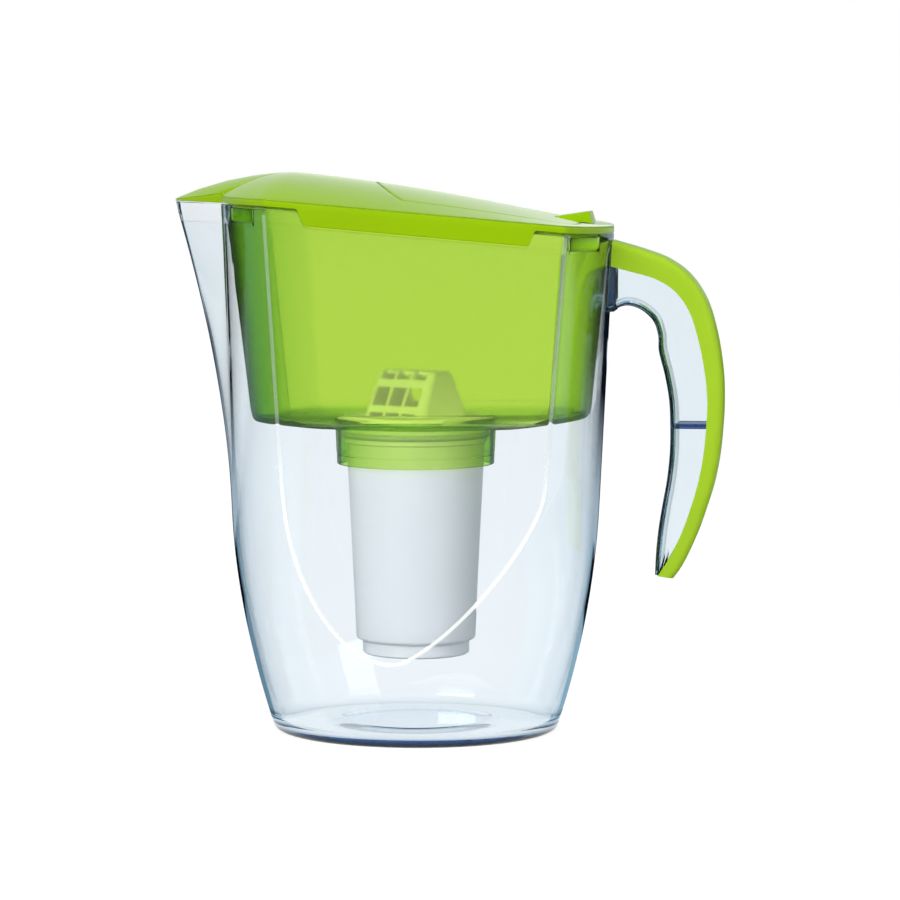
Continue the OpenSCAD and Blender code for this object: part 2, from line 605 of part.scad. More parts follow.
module cartridge_seal() {
    color("dimgray") rotate_extrude($fn = 128) polygon([
        [neck_r - 0.8 + fit, seal_z + fit], [neck_r + 0.4, seal_z + fit],
        [collar_r - 0.4, seal_z + seal_h * 0.35], [collar_r - 0.3, seal_z + seal_h * 0.5],
        [collar_r - 0.4, seal_z + seal_h * 0.65], [neck_r + 0.4, seal_z + seal_h - fit],
        [neck_r - 0.8 + fit, seal_z + seal_h - fit]]);
}

// The hood: four leaning walls and a ridge, hollow, with three by three windows a side
hood_base = [35, 43];
hood_ridge = [32, 17];
hood_corners = [5, 4, 3];
hood_t = 1.4;
plate_r = flange_r - 2.5;
plate_t = 1.4;
window_wid = 7.9;
window_bar = 1.4;
window_rows = [[0.09, 0.17], [0.3, 0.68], [0.84, 1.1]];
ridge_half = 4.4;
module soft_slab(size, r, z) {
    translate([0, 0, z]) linear_extrude(0.01) offset(r = r, $fn = 24)
        square([size[0] - 2 * r, size[1] - 2 * r], center = true);
}
module hood_form(w, h) {
    hull() {
        soft_slab([hood_base[0] - 2 * w, hood_base[1] - 2 * w], hood_corners[0] - w, 0);
        soft_slab([hood_ridge[0] + 1 - 2 * w, hood_ridge[1] + 2 - 2 * w], hood_corners[1] - w,
            h - 1.6);
        soft_slab([hood_ridge[0] - 1 - 2 * w, hood_ridge[1] - 2 - 2 * w], hood_corners[2] - w,
            h - 0.01);
    }
}
module inlet_hood() {
    color("whitesmoke") translate([0, 0, flange_z + flange_t]) rotate([0, 0, -hood_turn])
    difference() {
        union() {
            hood_form(0, hood_h);
            cylinder(r = plate_r, h = plate_t, $fn = 96);
        }
        translate([0, 0, -0.1]) hood_form(hood_t, hood_h - hood_t + 0.1);
        for (col = [-1, 0, 1], row = window_rows, side = [0, 1])
            translate([col * (window_wid + window_bar), 0, 0]) rotate([0, 0, 180 * side])
                translate([-window_wid / 2, ridge_half, row[0] * hood_h])
                    cube([window_wid, hood_base[1] / 2, (row[1] - row[0]) * hood_h]);
    }
}

// The foot: a shallow cup plugged into the shell's outlet, with slots round its wall
foot_z = body_foot_z - foot_h;
plug_h = 3;
slot_n = 12;
module cartridge_foot() {
    t = cartridge_t;
    color("whitesmoke") difference() {
        rotate_extrude($fn = 128) polygon([[0, foot_z], [foot_r - 1, foot_z],
            [foot_r - 0.1, foot_z + 0.8], [foot_r, body_foot_z - fit],
            [outlet_r - fit, body_foot_z - fit], [outlet_r - fit, body_foot_z + plug_h],
            [outlet_r - fit - t, body_foot_z + plug_h], [outlet_r - fit - t, foot_z + t],
            [0, foot_z + t]]);
        for (k = [0 : slot_n - 1]) rotate([0, 0, 360 * (k + 0.5) / slot_n])
            translate([outlet_r * 0.45, -1.1, foot_z - 1]) cube([outlet_r * 0.4, 2.2, t + 2]);
    }
}

// The filling: screens below and above two beds, each clear of the wall by the press fit
screen_t = 1.6;
bed_floor_z = body_foot_z + plug_h + fit;
bed_top_z = flange_z - neck_h - 1;
bed_split = 0.46;
// Disc between heights z0 and z1 that follows the shell's inner wall
module fill(z0, z1) {
    play = cartridge_t + 0.15;
    rotate_extrude($fn = 96) polygon(concat([[0, z0]],
        [for (k = [0 : 4]) let(z = lerp(z0, z1, k / 4)) [shell_r(z) - play, z]], [[0, z1]]));
}
module bottom_screen() {
    color("white") fill(bed_floor_z, bed_floor_z + screen_t);
}
module resin_bed() {
    from = bed_floor_z + screen_t + fit;
    color("goldenrod") fill(from, lerp(from, bed_top_z - screen_t, bed_split) - fit);
}
module carbon_bed() {
    from = bed_floor_z + screen_t + fit;
    to = bed_top_z - screen_t - fit;
    color([0.12, 0.12, 0.13]) fill(lerp(from, bed_top_z - screen_t, bed_split), to);
}
module top_screen() {
    color("white") fill(bed_top_z - screen_t, bed_top_z);
}

jug();
handle_cover();
lid();
flip_hatch();
hopper();
cartridge_shell();
inlet_hood();
cartridge_foot();
cartridge_seal();
top_screen();
carbon_bed();
resin_bed();
bottom_screen();
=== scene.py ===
"""Water filter pitcher: clear jug, tinted hopper, lime lid with a flip hatch, white cartridge.

The shapes repeat the part's own formulas on a finer grid, in millimetres, and are turned into
metres where a mesh is made. Z is up, X runs from the spout (-) to the handle (+).
"""

import math

import bmesh
import bpy
import numpy as np
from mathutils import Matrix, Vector


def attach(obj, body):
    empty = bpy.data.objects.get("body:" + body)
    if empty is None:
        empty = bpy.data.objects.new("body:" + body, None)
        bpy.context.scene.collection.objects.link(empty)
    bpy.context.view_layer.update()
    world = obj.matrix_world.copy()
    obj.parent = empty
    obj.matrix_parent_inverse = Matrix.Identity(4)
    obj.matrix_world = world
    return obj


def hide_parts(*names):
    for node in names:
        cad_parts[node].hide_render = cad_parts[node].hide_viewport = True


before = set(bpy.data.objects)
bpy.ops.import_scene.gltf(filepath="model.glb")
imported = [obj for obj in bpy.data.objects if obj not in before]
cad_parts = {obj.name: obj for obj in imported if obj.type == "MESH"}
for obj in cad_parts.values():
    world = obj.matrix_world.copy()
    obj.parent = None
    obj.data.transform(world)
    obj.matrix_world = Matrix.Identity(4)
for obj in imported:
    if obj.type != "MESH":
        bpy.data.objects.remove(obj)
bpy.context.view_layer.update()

MM = 0.001

# ---- Driving sizes, as in the part ----
RIM_H, RIM_TILT = 252.5, 4.9
BASE_LEN, BASE_WID, BODY_WID = 136.0, 125.0, 128.0
FRONT_X, REAR_X = 93.0, 95.4
SPOUT_REACH, SPOUT_HALF, SPOUT_ROOT_H = 23.2, 24.0, 105.0
WALL, FLOOR_T, LIP_DIP = 2.4, 3.2, 4.6
PANEL_TIP_H, PANEL_ROUND_H = 39.0, 80.0
CORNER_FRONT_X, CORNER_REAR_X, PANEL_MID_X = -63.4, 78.2, -2.9
TUCK_H, FRONT_DRAFT, REAR_DRAFT = 107.0, 0.03, 0.05
NOSE_RISE = 1.1
REBATE, BAND_H, GAP = 1.2, 7.6, 0.4
REBATE_H = BAND_H + 1.6
APRON, APRON_FROM, APRON_TO, APRON_END = 7.5, -48.2, 64.4, 4.2
LUG_SPANS = {1: (0.35, 0.82), 3: (0.06, 0.53)}
POCKET_DEEP, NOTCH_HALF = 7.6, 0.105
LUG_ROOT, LUG_DROP = 0.8, 1.2
HANDLE_WID, COVER_T, COVER_ROUND, COVER_PLAY = 22.0, 2.2, 3.4, 0.15
RIB_H = 148.0
LID_SIDE, SKIN, CREST_RISE = 3.8, 2.0, 15.4
HATCH_WID, HATCH_FRONT, HATCH_REAR, HATCH_CORNER = 93.0, 18.0, 80.0, 9.0
TAB_WID, TRUNNION_R = 24.0, 1.8
HOPPER_T, HOPPER_DEEP, HOPPER_DRAW = 2.0, 105.0, 10.0
COLLAR_H, COLLAR_R = 18.0, 36.0
CARTRIDGE_DEEP, CARTRIDGE_T = 112.0, 1.5
BODY_TOP_R, BODY_LOW_R, FOOT_R, FOOT_H = 33.2, 28.6, 25.7, 6.8


def lerp(a, b, t):
    return a + (b - a) * t


def unit(t):
    return np.clip(t, 0.0, 1.0)


def ease(t):
    u = unit(t)
    return u * u * (3 - 2 * u)


# ---- Columns of the outline: kind 0 spout, 1 front bow, 2 flat side, 3 rear bow ----
def dense_ends(count, squeeze):
    """Places from 0 to 1, without the last, that crowd towards both ends."""
    u = np.arange(count) / count
    return u - squeeze * np.sin(2 * np.pi * u) / (2 * np.pi)


def with_steps(places, span):
    """The places with a close pair added at each end of a span, for a sharp step there."""
    near = 0.003
    extra = [s + d for s in span for d in (-near, near)]
    return np.unique(np.concatenate([places, extra]))


def make_columns():
    half = [(0, t) for t in dense_ends(40, 0.75)]
    half += [(1, t) for t in with_steps(dense_ends(56, 0.8), LUG_SPANS[1])]
    half += [(2, t) for t in dense_ends(120, 0.85)]
    half += [(2, 1.0)]
    half += [(3, t) for t in with_steps((np.arange(1, 57) / 56) ** 1.5, LUG_SPANS[3])]
    full = [(k, t, -1.0) for k, t in half] + [(k, t, 1.0) for k, t in half[-2:0:-1]]
    kind, place, side = (np.array(v) for v in zip(*full))
    return kind.astype(int), place, side


KIND, PLACE, SIDE = make_columns()
RING_N = len(KIND)


def front_at(z):
    tuck = FRONT_X - FRONT_DRAFT * RIM_H - BASE_LEN / 2
    return FRONT_X - FRONT_DRAFT * (RIM_H - z) - tuck * (1 - unit(z / TUCK_H)) ** 1.9


def rear_at(z):
    tuck = REAR_X - REAR_DRAFT * RIM_H - BASE_LEN / 2
    return REAR_X - REAR_DRAFT * (RIM_H - z) - tuck * (1 - unit(z / TUCK_H)) ** 2


def side_at(z):
    swell = 0.55 * ease(z / PANEL_TIP_H) + 0.45 * unit(z / RIM_H)
    return lerp(BASE_WID / 2, BODY_WID / 2, swell)


def mid_at(z):
    return PANEL_MID_X * ease(z / PANEL_TIP_H)


def spout_at(z):
    return SPOUT_REACH * np.maximum(0, (z - SPOUT_ROOT_H) / (RIM_H - SPOUT_ROOT_H)) ** 1.65


def spout_shape(t, z):
    r = 0.06
    vee = 1 - (np.sqrt(t * t + r * r) - r) / (math.sqrt(1 + r * r) - r)
    return lerp((1 - t * t) ** 2, vee, ease((z - 150) / 80))


def reach_front(z):
    rise = unit((z - PANEL_TIP_H) / PANEL_ROUND_H)
    full = PANEL_MID_X - CORNER_FRONT_X - 0.063 * (RIM_H - z)
    return full * np.sqrt(1 - (1 - rise) ** 2)


def reach_rear(z):
    rise = unit((z - PANEL_TIP_H) / PANEL_ROUND_H)
    full = CORNER_REAR_X - PANEL_MID_X - 0.078 * (RIM_H - z)
    return full * (1 - (1 - rise) ** 1.4) ** 0.714


LEAST_REACH = 15.0


def outline(z, w, spout=1.0, kind=None, place=None, side=None):
    """X and Y of the outline's columns at heights z, drawn in by w."""
    kind = KIND if kind is None else kind
    place = PLACE if place is None else place
    side = SIDE if side is None else side
    z = np.broadcast_to(np.asarray(z, float), kind.shape)
    mid, half = mid_at(z), side_at(z) - w
    a_f, a_r = front_at(z) - w + mid, rear_at(z) - w - mid
    true_f = np.maximum(0, reach_front(z) - w / 2)
    true_r = np.maximum(0, reach_rear(z) - w / 2)
    b_f, b_r = half / np.sqrt(1 - (true_f / a_f) ** 2), half / np.sqrt(1 - (true_r / a_r) ** 2)
    reach_f = np.maximum(reach_front(z) - w / 2, LEAST_REACH)
    reach_r = np.maximum(reach_rear(z) - w / 2, LEAST_REACH)
    x_side = lerp(mid - reach_f, mid + reach_r, place)
    fore = x_side < mid
    a_s, b_s = np.where(fore, a_f, a_r), np.where(fore, b_f, b_r)
    y_side = np.minimum(half, b_s * np.sqrt(np.maximum(0, 1 - ((x_side - mid) / a_s) ** 2)))
    root = SPOUT_HALF - 0.3 * w
    turn_f = lerp(np.arcsin(root / b_f), np.arccos(reach_f / a_f), place)
    turn_r = lerp(np.arccos(reach_r / a_r), 0, place)
    y_spout = root * place
    x_nose = mid - a_f * np.sqrt(np.maximum(0, 1 - (y_spout / b_f) ** 2))
    stands = spout_at(z)
    beak = spout * np.maximum(0, stands - 0.45 * w * unit(stands / 4))
    x = np.select(
        [kind == 0, kind == 1, kind == 2],
        [x_nose - beak * spout_shape(place, z), mid - a_f * np.cos(turn_f), x_side],
        mid + a_r * np.cos(turn_r),
    )
    y = np.select(
        [kind == 0, kind == 1, kind == 2],
        [y_spout, b_f * np.sin(turn_f), y_side],
        b_r * np.sin(turn_r),
    )
    return x, side * y


# ---- Corners are rounded by averaging the points close to them along the ring ----
ROOT_SOFT, SIDE_SOFT, SOFT_REACH, SOFT_FADE = 1.3, 1.5, 8.0, 5.0


def rounding_weights():
    """One row of weights per column: a bell curve near a corner, the column alone elsewhere."""
    x, y = outline(RIM_H, 0)
    step = np.hypot(np.roll(x, -1) - x, np.roll(y, -1) - y)
    along = np.cumsum(step) - step
    gap = np.abs(along[:, None] - along[None, :])
    gap = np.minimum(gap, step.sum() - gap)
    soft = np.full(RING_N, 0.01)
    for kind, corner, size in ((1, 0, ROOT_SOFT), (2, 0, SIDE_SOFT), (2, 1, SIDE_SOFT)):
        for j in np.flatnonzero((KIND == kind) & (PLACE == corner)):
            soft = np.maximum(soft, size * ease((SOFT_REACH - gap[j]) / SOFT_FADE))
    bell = np.exp(-0.5 * (gap / soft[:, None]) ** 2) * (step + np.roll(step, 1))
    return bell / bell.sum(axis=1)[:, None]


ROUNDING = rounding_weights()


def rounded(ring):
    return ROUNDING @ ring


def inset(ring, w):
    """The ring moved inward by w, square to itself as seen from above."""
    along = np.roll(ring[:, :2], -1, axis=0) - np.roll(ring[:, :2], 1, axis=0)
    along /= np.linalg.norm(along, axis=1)[:, None]
    moved = ring + np.column_stack([-along[:, 1], along[:, 0], np.zeros(len(ring))]) * w
    return tip_trimmed(moved)


def tip_trimmed(ring):
    """Brings columns that have crossed the middle plane, at a sharp tip, back to the crossing."""
    for columns in (np.arange(RING_N // 4), -np.arange(RING_N // 4)):
        out = ring[columns, 1] * SIDE[columns[1]]
        crossed = np.flatnonzero(out[1:] < 0.05)
        if len(crossed) == 0:
            continue
        last = crossed[-1] + 1
        t = (0.05 - out[last]) / (out[last + 1] - out[last])
        x = lerp(ring[columns[last], 0], ring[columns[last + 1], 0], t)
        moved = columns[: last + 1]
        ring[moved, 0] = x
        ring[moved, 1] = SIDE[columns[1]] * 0.05 * np.arange(last + 1) / (last + 1)
    return ring


def stack(x, y, z):
    return np.stack([x, y, np.broadcast_to(z, x.shape)], axis=1)


def rim_at(x):
    rear = RIM_H - math.tan(math.radians(RIM_TILT)) * (x - CORNER_FRONT_X)
    front = RIM_H + NOSE_RISE * (CORNER_FRONT_X - x) / (FRONT_X + SPOUT_REACH + CORNER_FRONT_X)
    return np.where(x > CORNER_FRONT_X, rear, front)


RIM_Z = rim_at(outline(RIM_H, 0)[0])
LEVEL_H = 12.0


def level(h):
    return h + (RIM_Z - RIM_H) * max(0.0, h - LEVEL_H) / (RIM_H - LEVEL_H)


def apron_dips():
    x = outline(RIM_H, 0)[0]
    share = np.where(x < 0, ease((x - APRON_FROM) / APRON_END), ease((APRON_TO - x) / APRON_END))
    return np.where(KIND == 2, APRON * share, 0.0)


def rim_dips():
    """How far the jug's rim is cut down: aprons, lug pockets and the pouring notch."""
    apron = apron_dips()
    dips = apron + np.where(apron > 0.05, GAP, 0)
    for kind, (low, high) in LUG_SPANS.items():
        dips = np.where((KIND == kind) & (PLACE > low) & (PLACE < high), POCKET_DEEP, dips)
    notch = LIP_DIP * (PLACE <= NOTCH_HALF / 2)
    return np.where(KIND == 0, notch, dips)


APRON_DIP = apron_dips()
RIM_DIP = rim_dips()


def jug_ring(h, w):
    z = level(h)
    return rounded(stack(*outline(z, w), z))


def rim_ring(drop, w, spout=1.0):
    z = RIM_Z - drop
    return rounded(stack(*outline(z, w, spout), z))


def inner_ring(h, w):
    return inset(jug_ring(h, 0), w)


def circle_ring(ring, r, z):
    """The ring's columns brought onto a circle round the axis."""
    flat = ring[:, :2] / np.linalg.norm(ring[:, :2], axis=1)[:, None] * r
    return np.column_stack([flat, np.full(len(ring), float(z))])


# ---- Meshes ----
def band_faces(count, rings, loop=False):
    """Quads between successive rings of count points each."""
    j = np.arange(count)
    nxt = (j + 1) % count
    faces = []
    for k in range(rings if loop else rings - 1):
        a, b = k * count, ((k + 1) % rings) * count
        faces.append(np.stack([a + j, a + nxt, b + nxt, b + j], axis=1))
    return np.concatenate(faces).tolist()


def scene_object(name, data):
    obj = bpy.data.objects.new(name, data)
    bpy.context.scene.collection.objects.link(obj)
    return obj


def new_object(name, verts, faces, material, smooth_deg=40):
    mesh = bpy.data.meshes.new(name)
    mesh.from_pydata((np.asarray(verts) * MM).tolist(), [], faces)
    mesh.validate()
    obj = scene_object(name, mesh)
    fix_normals(mesh)
    mesh.shade_smooth()
    mesh.set_sharp_from_angle(angle=math.radians(smooth_deg))
    mesh.materials.append(material)
    return obj


def fix_normals(mesh):
    """Points every face outward."""
    bm = bmesh.new()
    bm.from_mesh(mesh)
    bmesh.ops.recalc_face_normals(bm, faces=bm.faces)
    if bm.calc_volume(signed=True) < 0:
        bmesh.ops.reverse_faces(bm, faces=bm.faces)
    bm.to_mesh(mesh)
    bm.free()


def joined(parts):
    """One vertex list and one face list from several."""
    verts, faces, base = [], [], 0
    for v, f in parts:
        verts.append(np.asarray(v, float))
        faces += [[i + base for i in face] for face in f]
        base += len(v)
    return np.concatenate(verts), faces


def capped_rings(rings):
    """A closed body: a run of rings whose ends are closed by a middle point."""
    count = len(rings[0])
    verts = np.concatenate(rings + [rings[0].mean(0)[None], rings[-1].mean(0)[None]])
    faces = band_faces(count, len(rings))
    low, high, last = len(verts) - 2, len(verts) - 1, (len(rings) - 1) * count
    for j in range(count):
        k = (j + 1) % count
        faces.append([low, k, j])
        faces.append([high, last + j, last + k])
    return verts, faces


def looped_rings(rings):
    return np.concatenate(rings), band_faces(len(rings[0]), len(rings), loop=True)


def lathe(profile, count=160):
    """A closed profile of (radius, z) turned about the axis."""
    turn = 2 * np.pi * np.arange(count) / count
    rings = [
        np.stack([r * np.cos(turn), r * np.sin(turn), np.full(count, float(z))], axis=1)
        for r, z in profile
    ]
    return looped_rings(rings)


def swept_strip(loops):
    """Closed section loops along a path, with both ends closed. A loop runs out and back."""
    count, last = len(loops[0]), (len(loops) - 1) * len(loops[0])
    verts = np.concatenate(loops)
    faces = band_faces(count, len(loops))
    for j in range(count // 2 - 1):
        faces.append([j, j + 1, count - 2 - j, count - 1 - j])
        faces.append([last + j, last + j + 1, last + count - 2 - j, last + count - 1 - j])
    return verts, faces


def beveled(verts, faces, width, segments=3):
    """The same body with its edges rounded by Blender's bevel."""
    mesh = bpy.data.meshes.new("bevel_work")
    mesh.from_pydata(np.asarray(verts).tolist(), [], faces)
    fix_normals(mesh)
    obj = scene_object("bevel_work", mesh)
    mod = obj.modifiers.new("bevel", "BEVEL")
    mod.width, mod.segments, mod.limit_method = width, segments, "ANGLE"
    mod.angle_limit = math.radians(25)
    done = obj.evaluated_get(bpy.context.evaluated_depsgraph_get()).to_mesh()
    out = np.array([v.co[:] for v in done.vertices]), [list(p.vertices) for p in done.polygons]
    bpy.data.objects.remove(obj)
    bpy.data.meshes.remove(mesh)
    return out


def block(low, high):
    x0, y0, z0 = low
    x1, y1, z1 = high
    verts = [(x, y, z) for x in (x0, x1) for y in (y0, y1) for z in (z0, z1)]
    faces = [[0, 1, 3, 2], [4, 6, 7, 5], [0, 4, 5, 1], [2, 3, 7, 6], [0, 2, 6, 4], [1, 5, 7, 3]]
    return np.array(verts, float), faces


def drum(x, z, r, y0, y1, count=48):
    """A cylinder along Y."""
    turn = 2 * np.pi * np.arange(count) / count
    rings = [
        np.stack([x + rr * np.cos(turn), np.full(count, y), z + rr * np.sin(turn)], axis=1)
        for rr, y in ((r - 0.3, y0), (r, y0 + 0.3), (r, y1 - 0.3), (r - 0.3, y1))
    ]
    return capped_rings(rings)


# ---- Materials ----
def node_material(name):
    mat = bpy.data.materials.new(name)
    mat.use_nodes = True
    tree = mat.node_tree
    return mat, tree, tree.nodes["Principled BSDF"], tree.nodes["Material Output"]


def feed(tree, socket, value):
    """Sets an input to a value, or links it to the socket given."""
    if isinstance(value, bpy.types.NodeSocket):
        tree.links.new(value, socket)
    else:
        socket.default_value = value


def set_inputs(tree, node, **inputs):
    for name, value in inputs.items():
        feed(tree, node.inputs[name.replace("_", " ")], value)


def add_node(tree, kind, **inputs):
    node = tree.nodes.new("ShaderNode" + kind)
    set_inputs(tree, node, **inputs)
    return node


def math_node(tree, operation, a, b):
    node = tree.nodes.new("ShaderNodeMath")
    node.operation = operation
    for socket, value in zip(node.inputs, (a, b)):
        feed(tree, socket, value)
    return node.outputs["Value"]


def map_range(tree, value, start, end):
    """The value brought from the range start to the range end."""
    ends = zip(("From_Min", "From_Max", "To_Min", "To_Max"), (*start, *end))
    return add_node(tree, "MapRange", Value=value, **dict(ends)).outputs["Result"]


def place_along(tree, axis, system="Object"):
    coord = add_node(tree, "TexCoord").outputs[system]
    return add_node(tree, "SeparateXYZ", Vector=coord).outputs[axis]


def light_path(tree, name):
    return add_node(tree, "LightPath").outputs[name]


def mix_surface(tree, out, share, first, second):
    """Shows the first shader, and the second where the share is 1."""
    mix = add_node(tree, "MixShader")
    for socket, value in zip(mix.inputs, (share, first.outputs[0], second.outputs[0])):
        feed(tree, socket, value)
    set_inputs(tree, out, Surface=mix.outputs["Shader"])


NOISE_SPAN = (0.3, 0.7)
CLOUD_SCALE, CLEAR_CLOUD_SCALE = 14.0, 22.0


def noise(tree, scale, detail=3.0):
    coord = add_node(tree, "TexCoord").outputs["Object"]
    return add_node(tree, "TexNoise", Scale=scale, Detail=detail, Vector=coord).outputs["Fac"]


def spread(tree, fac, low, high):
    """The noise brought to the range low..high."""
    return map_range(tree, fac, NOISE_SPAN, (low, high))


def two_tone(tree, fac, a, b):
    mix = tree.nodes.new("ShaderNodeMix")
    mix.data_type = "RGBA"
    mix.inputs["A"].default_value = (*a, 1)
    mix.inputs["B"].default_value = (*b, 1)
    tree.links.new(fac, mix.inputs["Factor"])
    return mix.outputs["Result"]


def plastic(name, color, rough, vary=0.05, grain=2200.0, grain_depth=0.00002, **sockets):
    """Matt or glossy plastic with faint clouds in its colour and gloss, and a fine grain."""
    mat, tree, shader, _ = node_material(name)
    cloud = noise(tree, CLOUD_SCALE)
    dark = tuple(c * (1 - vary) for c in color)
    light = tuple(min(1.0, c * (1 + vary)) for c in color)
    bump = add_node(tree, "Bump", Strength=0.5, Distance=grain_depth,
                    Height=noise(tree, grain, 2.0))
    set_inputs(tree, shader, Base_Color=two_tone(tree, spread(tree, cloud, 0.0, 1.0), dark, light),
               Roughness=spread(tree, cloud, rough - 0.03, rough + 0.03),
               Normal=bump.outputs["Normal"], **sockets)
    return mat


def clear_rough(tree, low, more):
    return spread(tree, noise(tree, CLEAR_CLOUD_SCALE), low, low + more)


def clear_plastic(name, dye, density, rough=0.0, ior=1.45):
    """Clear plastic: the dye takes light along its way through the wall. Lamps pass."""
    mat, tree, shader, out = node_material(name)
    set_inputs(tree, shader, Base_Color=(1, 1, 1, 1), Transmission_Weight=1.0, IOR=ior,
               Roughness=clear_rough(tree, rough, 0.015))
    film = add_node(tree, "BsdfTransparent", Color=(1, 1, 1, 1))
    mix_surface(tree, out, light_path(tree, "Is Shadow Ray"), shader, film)
    absorb = add_node(tree, "VolumeAbsorption", Color=(*dye, 1), Density=density)
    set_inputs(tree, out, Volume=absorb.outputs["Volume"])
    return mat


def veil(name, color, rough, glow, heights, shares):
    """A thin sheet of painted light or shade on clear plastic, seen from its outer side only.
    With glow it is a painted highlight; dark and without glow, a painted dark line. It covers
    the first share of what is behind it at the first height and the second at the second."""
    mat, tree, shader, _ = node_material(name)
    fade = map_range(tree, place_along(tree, "Z"), [h * MM for h in heights], shares)
    inner = add_node(tree, "NewGeometry").outputs["Backfacing"]
    share = math_node(tree, "MULTIPLY", fade, math_node(tree, "SUBTRACT", 1.0, inner))
    set_inputs(tree, shader, Base_Color=(*color, 1), Emission_Color=(*color, 1),
               Emission_Strength=glow, Specular_IOR_Level=0.0, Alpha=share,
               Roughness=clear_rough(tree, rough, 0.05))
    return mat


# How a tint deepens where a wall is met at a slant: the least cosine counted, the extra way
# for a way twice as long, and the most extra way
LEAST_COSINE, SLANT_GAIN, SLANT_MOST = 0.3, 1.5, 1.4


def tinted_plastic(name, wall, rough, ior, slant, weaker=None):
    """Tinted plastic. wall is the colour of light through one wall met square on, and slant
    what is left of it where the wall is met at a slant. From the first x of weaker to its
    second the slant's effect falls to the third. Lamps pass."""
    mat, tree, shader, out = node_material(name)

    def calc(operation, a, b):
        return math_node(tree, operation, a, b)

    facing = add_node(tree, "LayerWeight").outputs["Facing"]
    cosine = calc("MAXIMUM", calc("SUBTRACT", 1.0, facing), LEAST_COSINE)
    longer = calc("SUBTRACT", calc("DIVIDE", 1.0, cosine), 1.0)
    way = calc("MINIMUM", calc("MULTIPLY", longer, SLANT_GAIN), SLANT_MOST)
    if weaker:
        start, stop, rest = weaker
        fall = map_range(tree, place_along(tree, "X"), (start * MM, stop * MM), (1.0, rest))
        way = calc("MULTIPLY", way, fall)
    colour = add_node(tree, "CombineColor")
    for channel, share, slanted in zip(("Red", "Green", "Blue"), wall, slant):
        deeper = calc("MULTIPLY", calc("POWER", slanted, way), share)
        set_inputs(tree, colour, **{channel: deeper})
    set_inputs(tree, shader, Transmission_Weight=1.0, IOR=ior, Base_Color=colour.outputs["Color"],
               Roughness=clear_rough(tree, rough, 0.02))
    film = add_node(tree, "BsdfTransparent", Color=(*(share**0.25 for share in wall), 1))
    lit = calc("GREATER_THAN", light_path(tree, "Diffuse Depth"), 0.5)
    lamps = calc("MAXIMUM", light_path(tree, "Is Shadow Ray"), lit)
    mix_surface(tree, out, lamps, shader, film)
    return mat


JUG_CLEAR = clear_plastic("jug_clear", (0.0, 0.5, 0.85), 32.0)
HANDLE_CLEAR = clear_plastic("handle_clear", (0.0, 0.5, 0.8), 45.0)
RIB_CLEAR = clear_plastic("rib_clear", (0.0, 0.3, 0.7), 160.0, 0.02)
# Partly painted shade: a dye far deeper than the jug's, standing in for the dark reflections at the
# handle's root.
ROOT_TINT_AND_PAINTED_SHADE = clear_plastic("root_tint_and_painted_shade", (0.0, 0.3, 0.5), 260.0, 0.02)
HOPPER_TINT = tinted_plastic("hopper_tint", (0.735, 0.885, 0.24), 0.2, 1.12, (0.6, 0.77, 0.4),
                             (-20.0, 60.0, 0.4))
LUG_TINT = tinted_plastic("lug_tint", (0.9, 0.97, 0.7), 0.15, 1.12, (0.9, 0.95, 0.85))
COLLAR_TINT = tinted_plastic("collar_tint", (0.73, 0.9, 0.32), 0.06, 1.3, (0.7, 0.9, 0.4))
# Painted highlight: a white, slightly glowing bead along the flat side's crease, fainter higher up.
EDGE_PAINTED_HIGHLIGHT = veil("panel_edge", (0.98, 1.0, 0.95), 0.5, 0.28, (100.0, 145.0), (0.62, 0.15))
# Painted shade: a dark sheet round the foot for the dark edge of the floor's thickness.
FOOT_PAINTED_DARK_LINE = veil("foot_edge", (0.002, 0.02, 0.055), 0.3, 0.0, (2.0, 5.0), (0.97, 0.0))
LIME = plastic("lime_gloss", (0.31, 0.53, 0.0), 0.34, vary=0.04, Specular_IOR_Level=0.08,
               Sheen_Weight=0.65, Sheen_Roughness=0.3)
LIME_COVER = plastic("lime_cover", (0.41, 0.66, 0.03), 0.3, vary=0.04,
                     Specular_IOR_Level=0.03)
WHITE = plastic("cartridge_white", (0.94, 0.94, 0.94), 0.38, vary=0.015)
# Painted light: the hood's white glows a little, so its shaded inside behind the windows looks lit.
HOOD_WHITE_PAINTED_GLOW = plastic("hood_white_painted_glow", (0.93, 0.94, 0.93), 0.45, vary=0.01,
                     Emission_Color=(1, 1, 1, 1), Emission_Strength=0.08)
SEAL = plastic("seal_silicone", (0.62, 0.66, 0.68), 0.55, vary=0.03)
SCREEN = plastic("screen_cloth", (0.88, 0.88, 0.85), 0.85, grain=6000.0, grain_depth=0.0002)
CARBON = plastic("carbon_grain", (0.02, 0.02, 0.022), 0.7, vary=0.5, grain=900.0,
                 grain_depth=0.0006)
RESIN = plastic("resin_bead", (0.62, 0.42, 0.12), 0.45, vary=0.3, grain=1400.0,
                grain_depth=0.0005)


for node, material in (
    ("inlet_hood", HOOD_WHITE_PAINTED_GLOW),
    ("cartridge_foot", WHITE),
    ("cartridge_seal", SEAL),
    ("top_screen", SCREEN),
    ("bottom_screen", SCREEN),
    ("carbon_bed", CARBON),
    ("resin_bed", RESIN),
):
    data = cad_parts[node].data
    data.materials.clear()
    data.materials.append(material)


def place(obj, body, node, slot):
    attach(obj, body)
    if node:
        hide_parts(node)
    return obj


# ---- Jug ----
# The recess under the foot: its outer radius, its depth and the run of its slope
FOOT_STEP, FOOT_RECESS, STEP_RUN = 43.5, 0.8, 14.0
# The wall as drawn: a little under the part's, as the photograph bends light by that much
GLASS_T = 2.0
# The foot's rounded edge: heights, and how far the wall is drawn in there
FOOT_ROUND = ((0.25, 1.6), (0.9, 0.75), (1.8, 0.25))


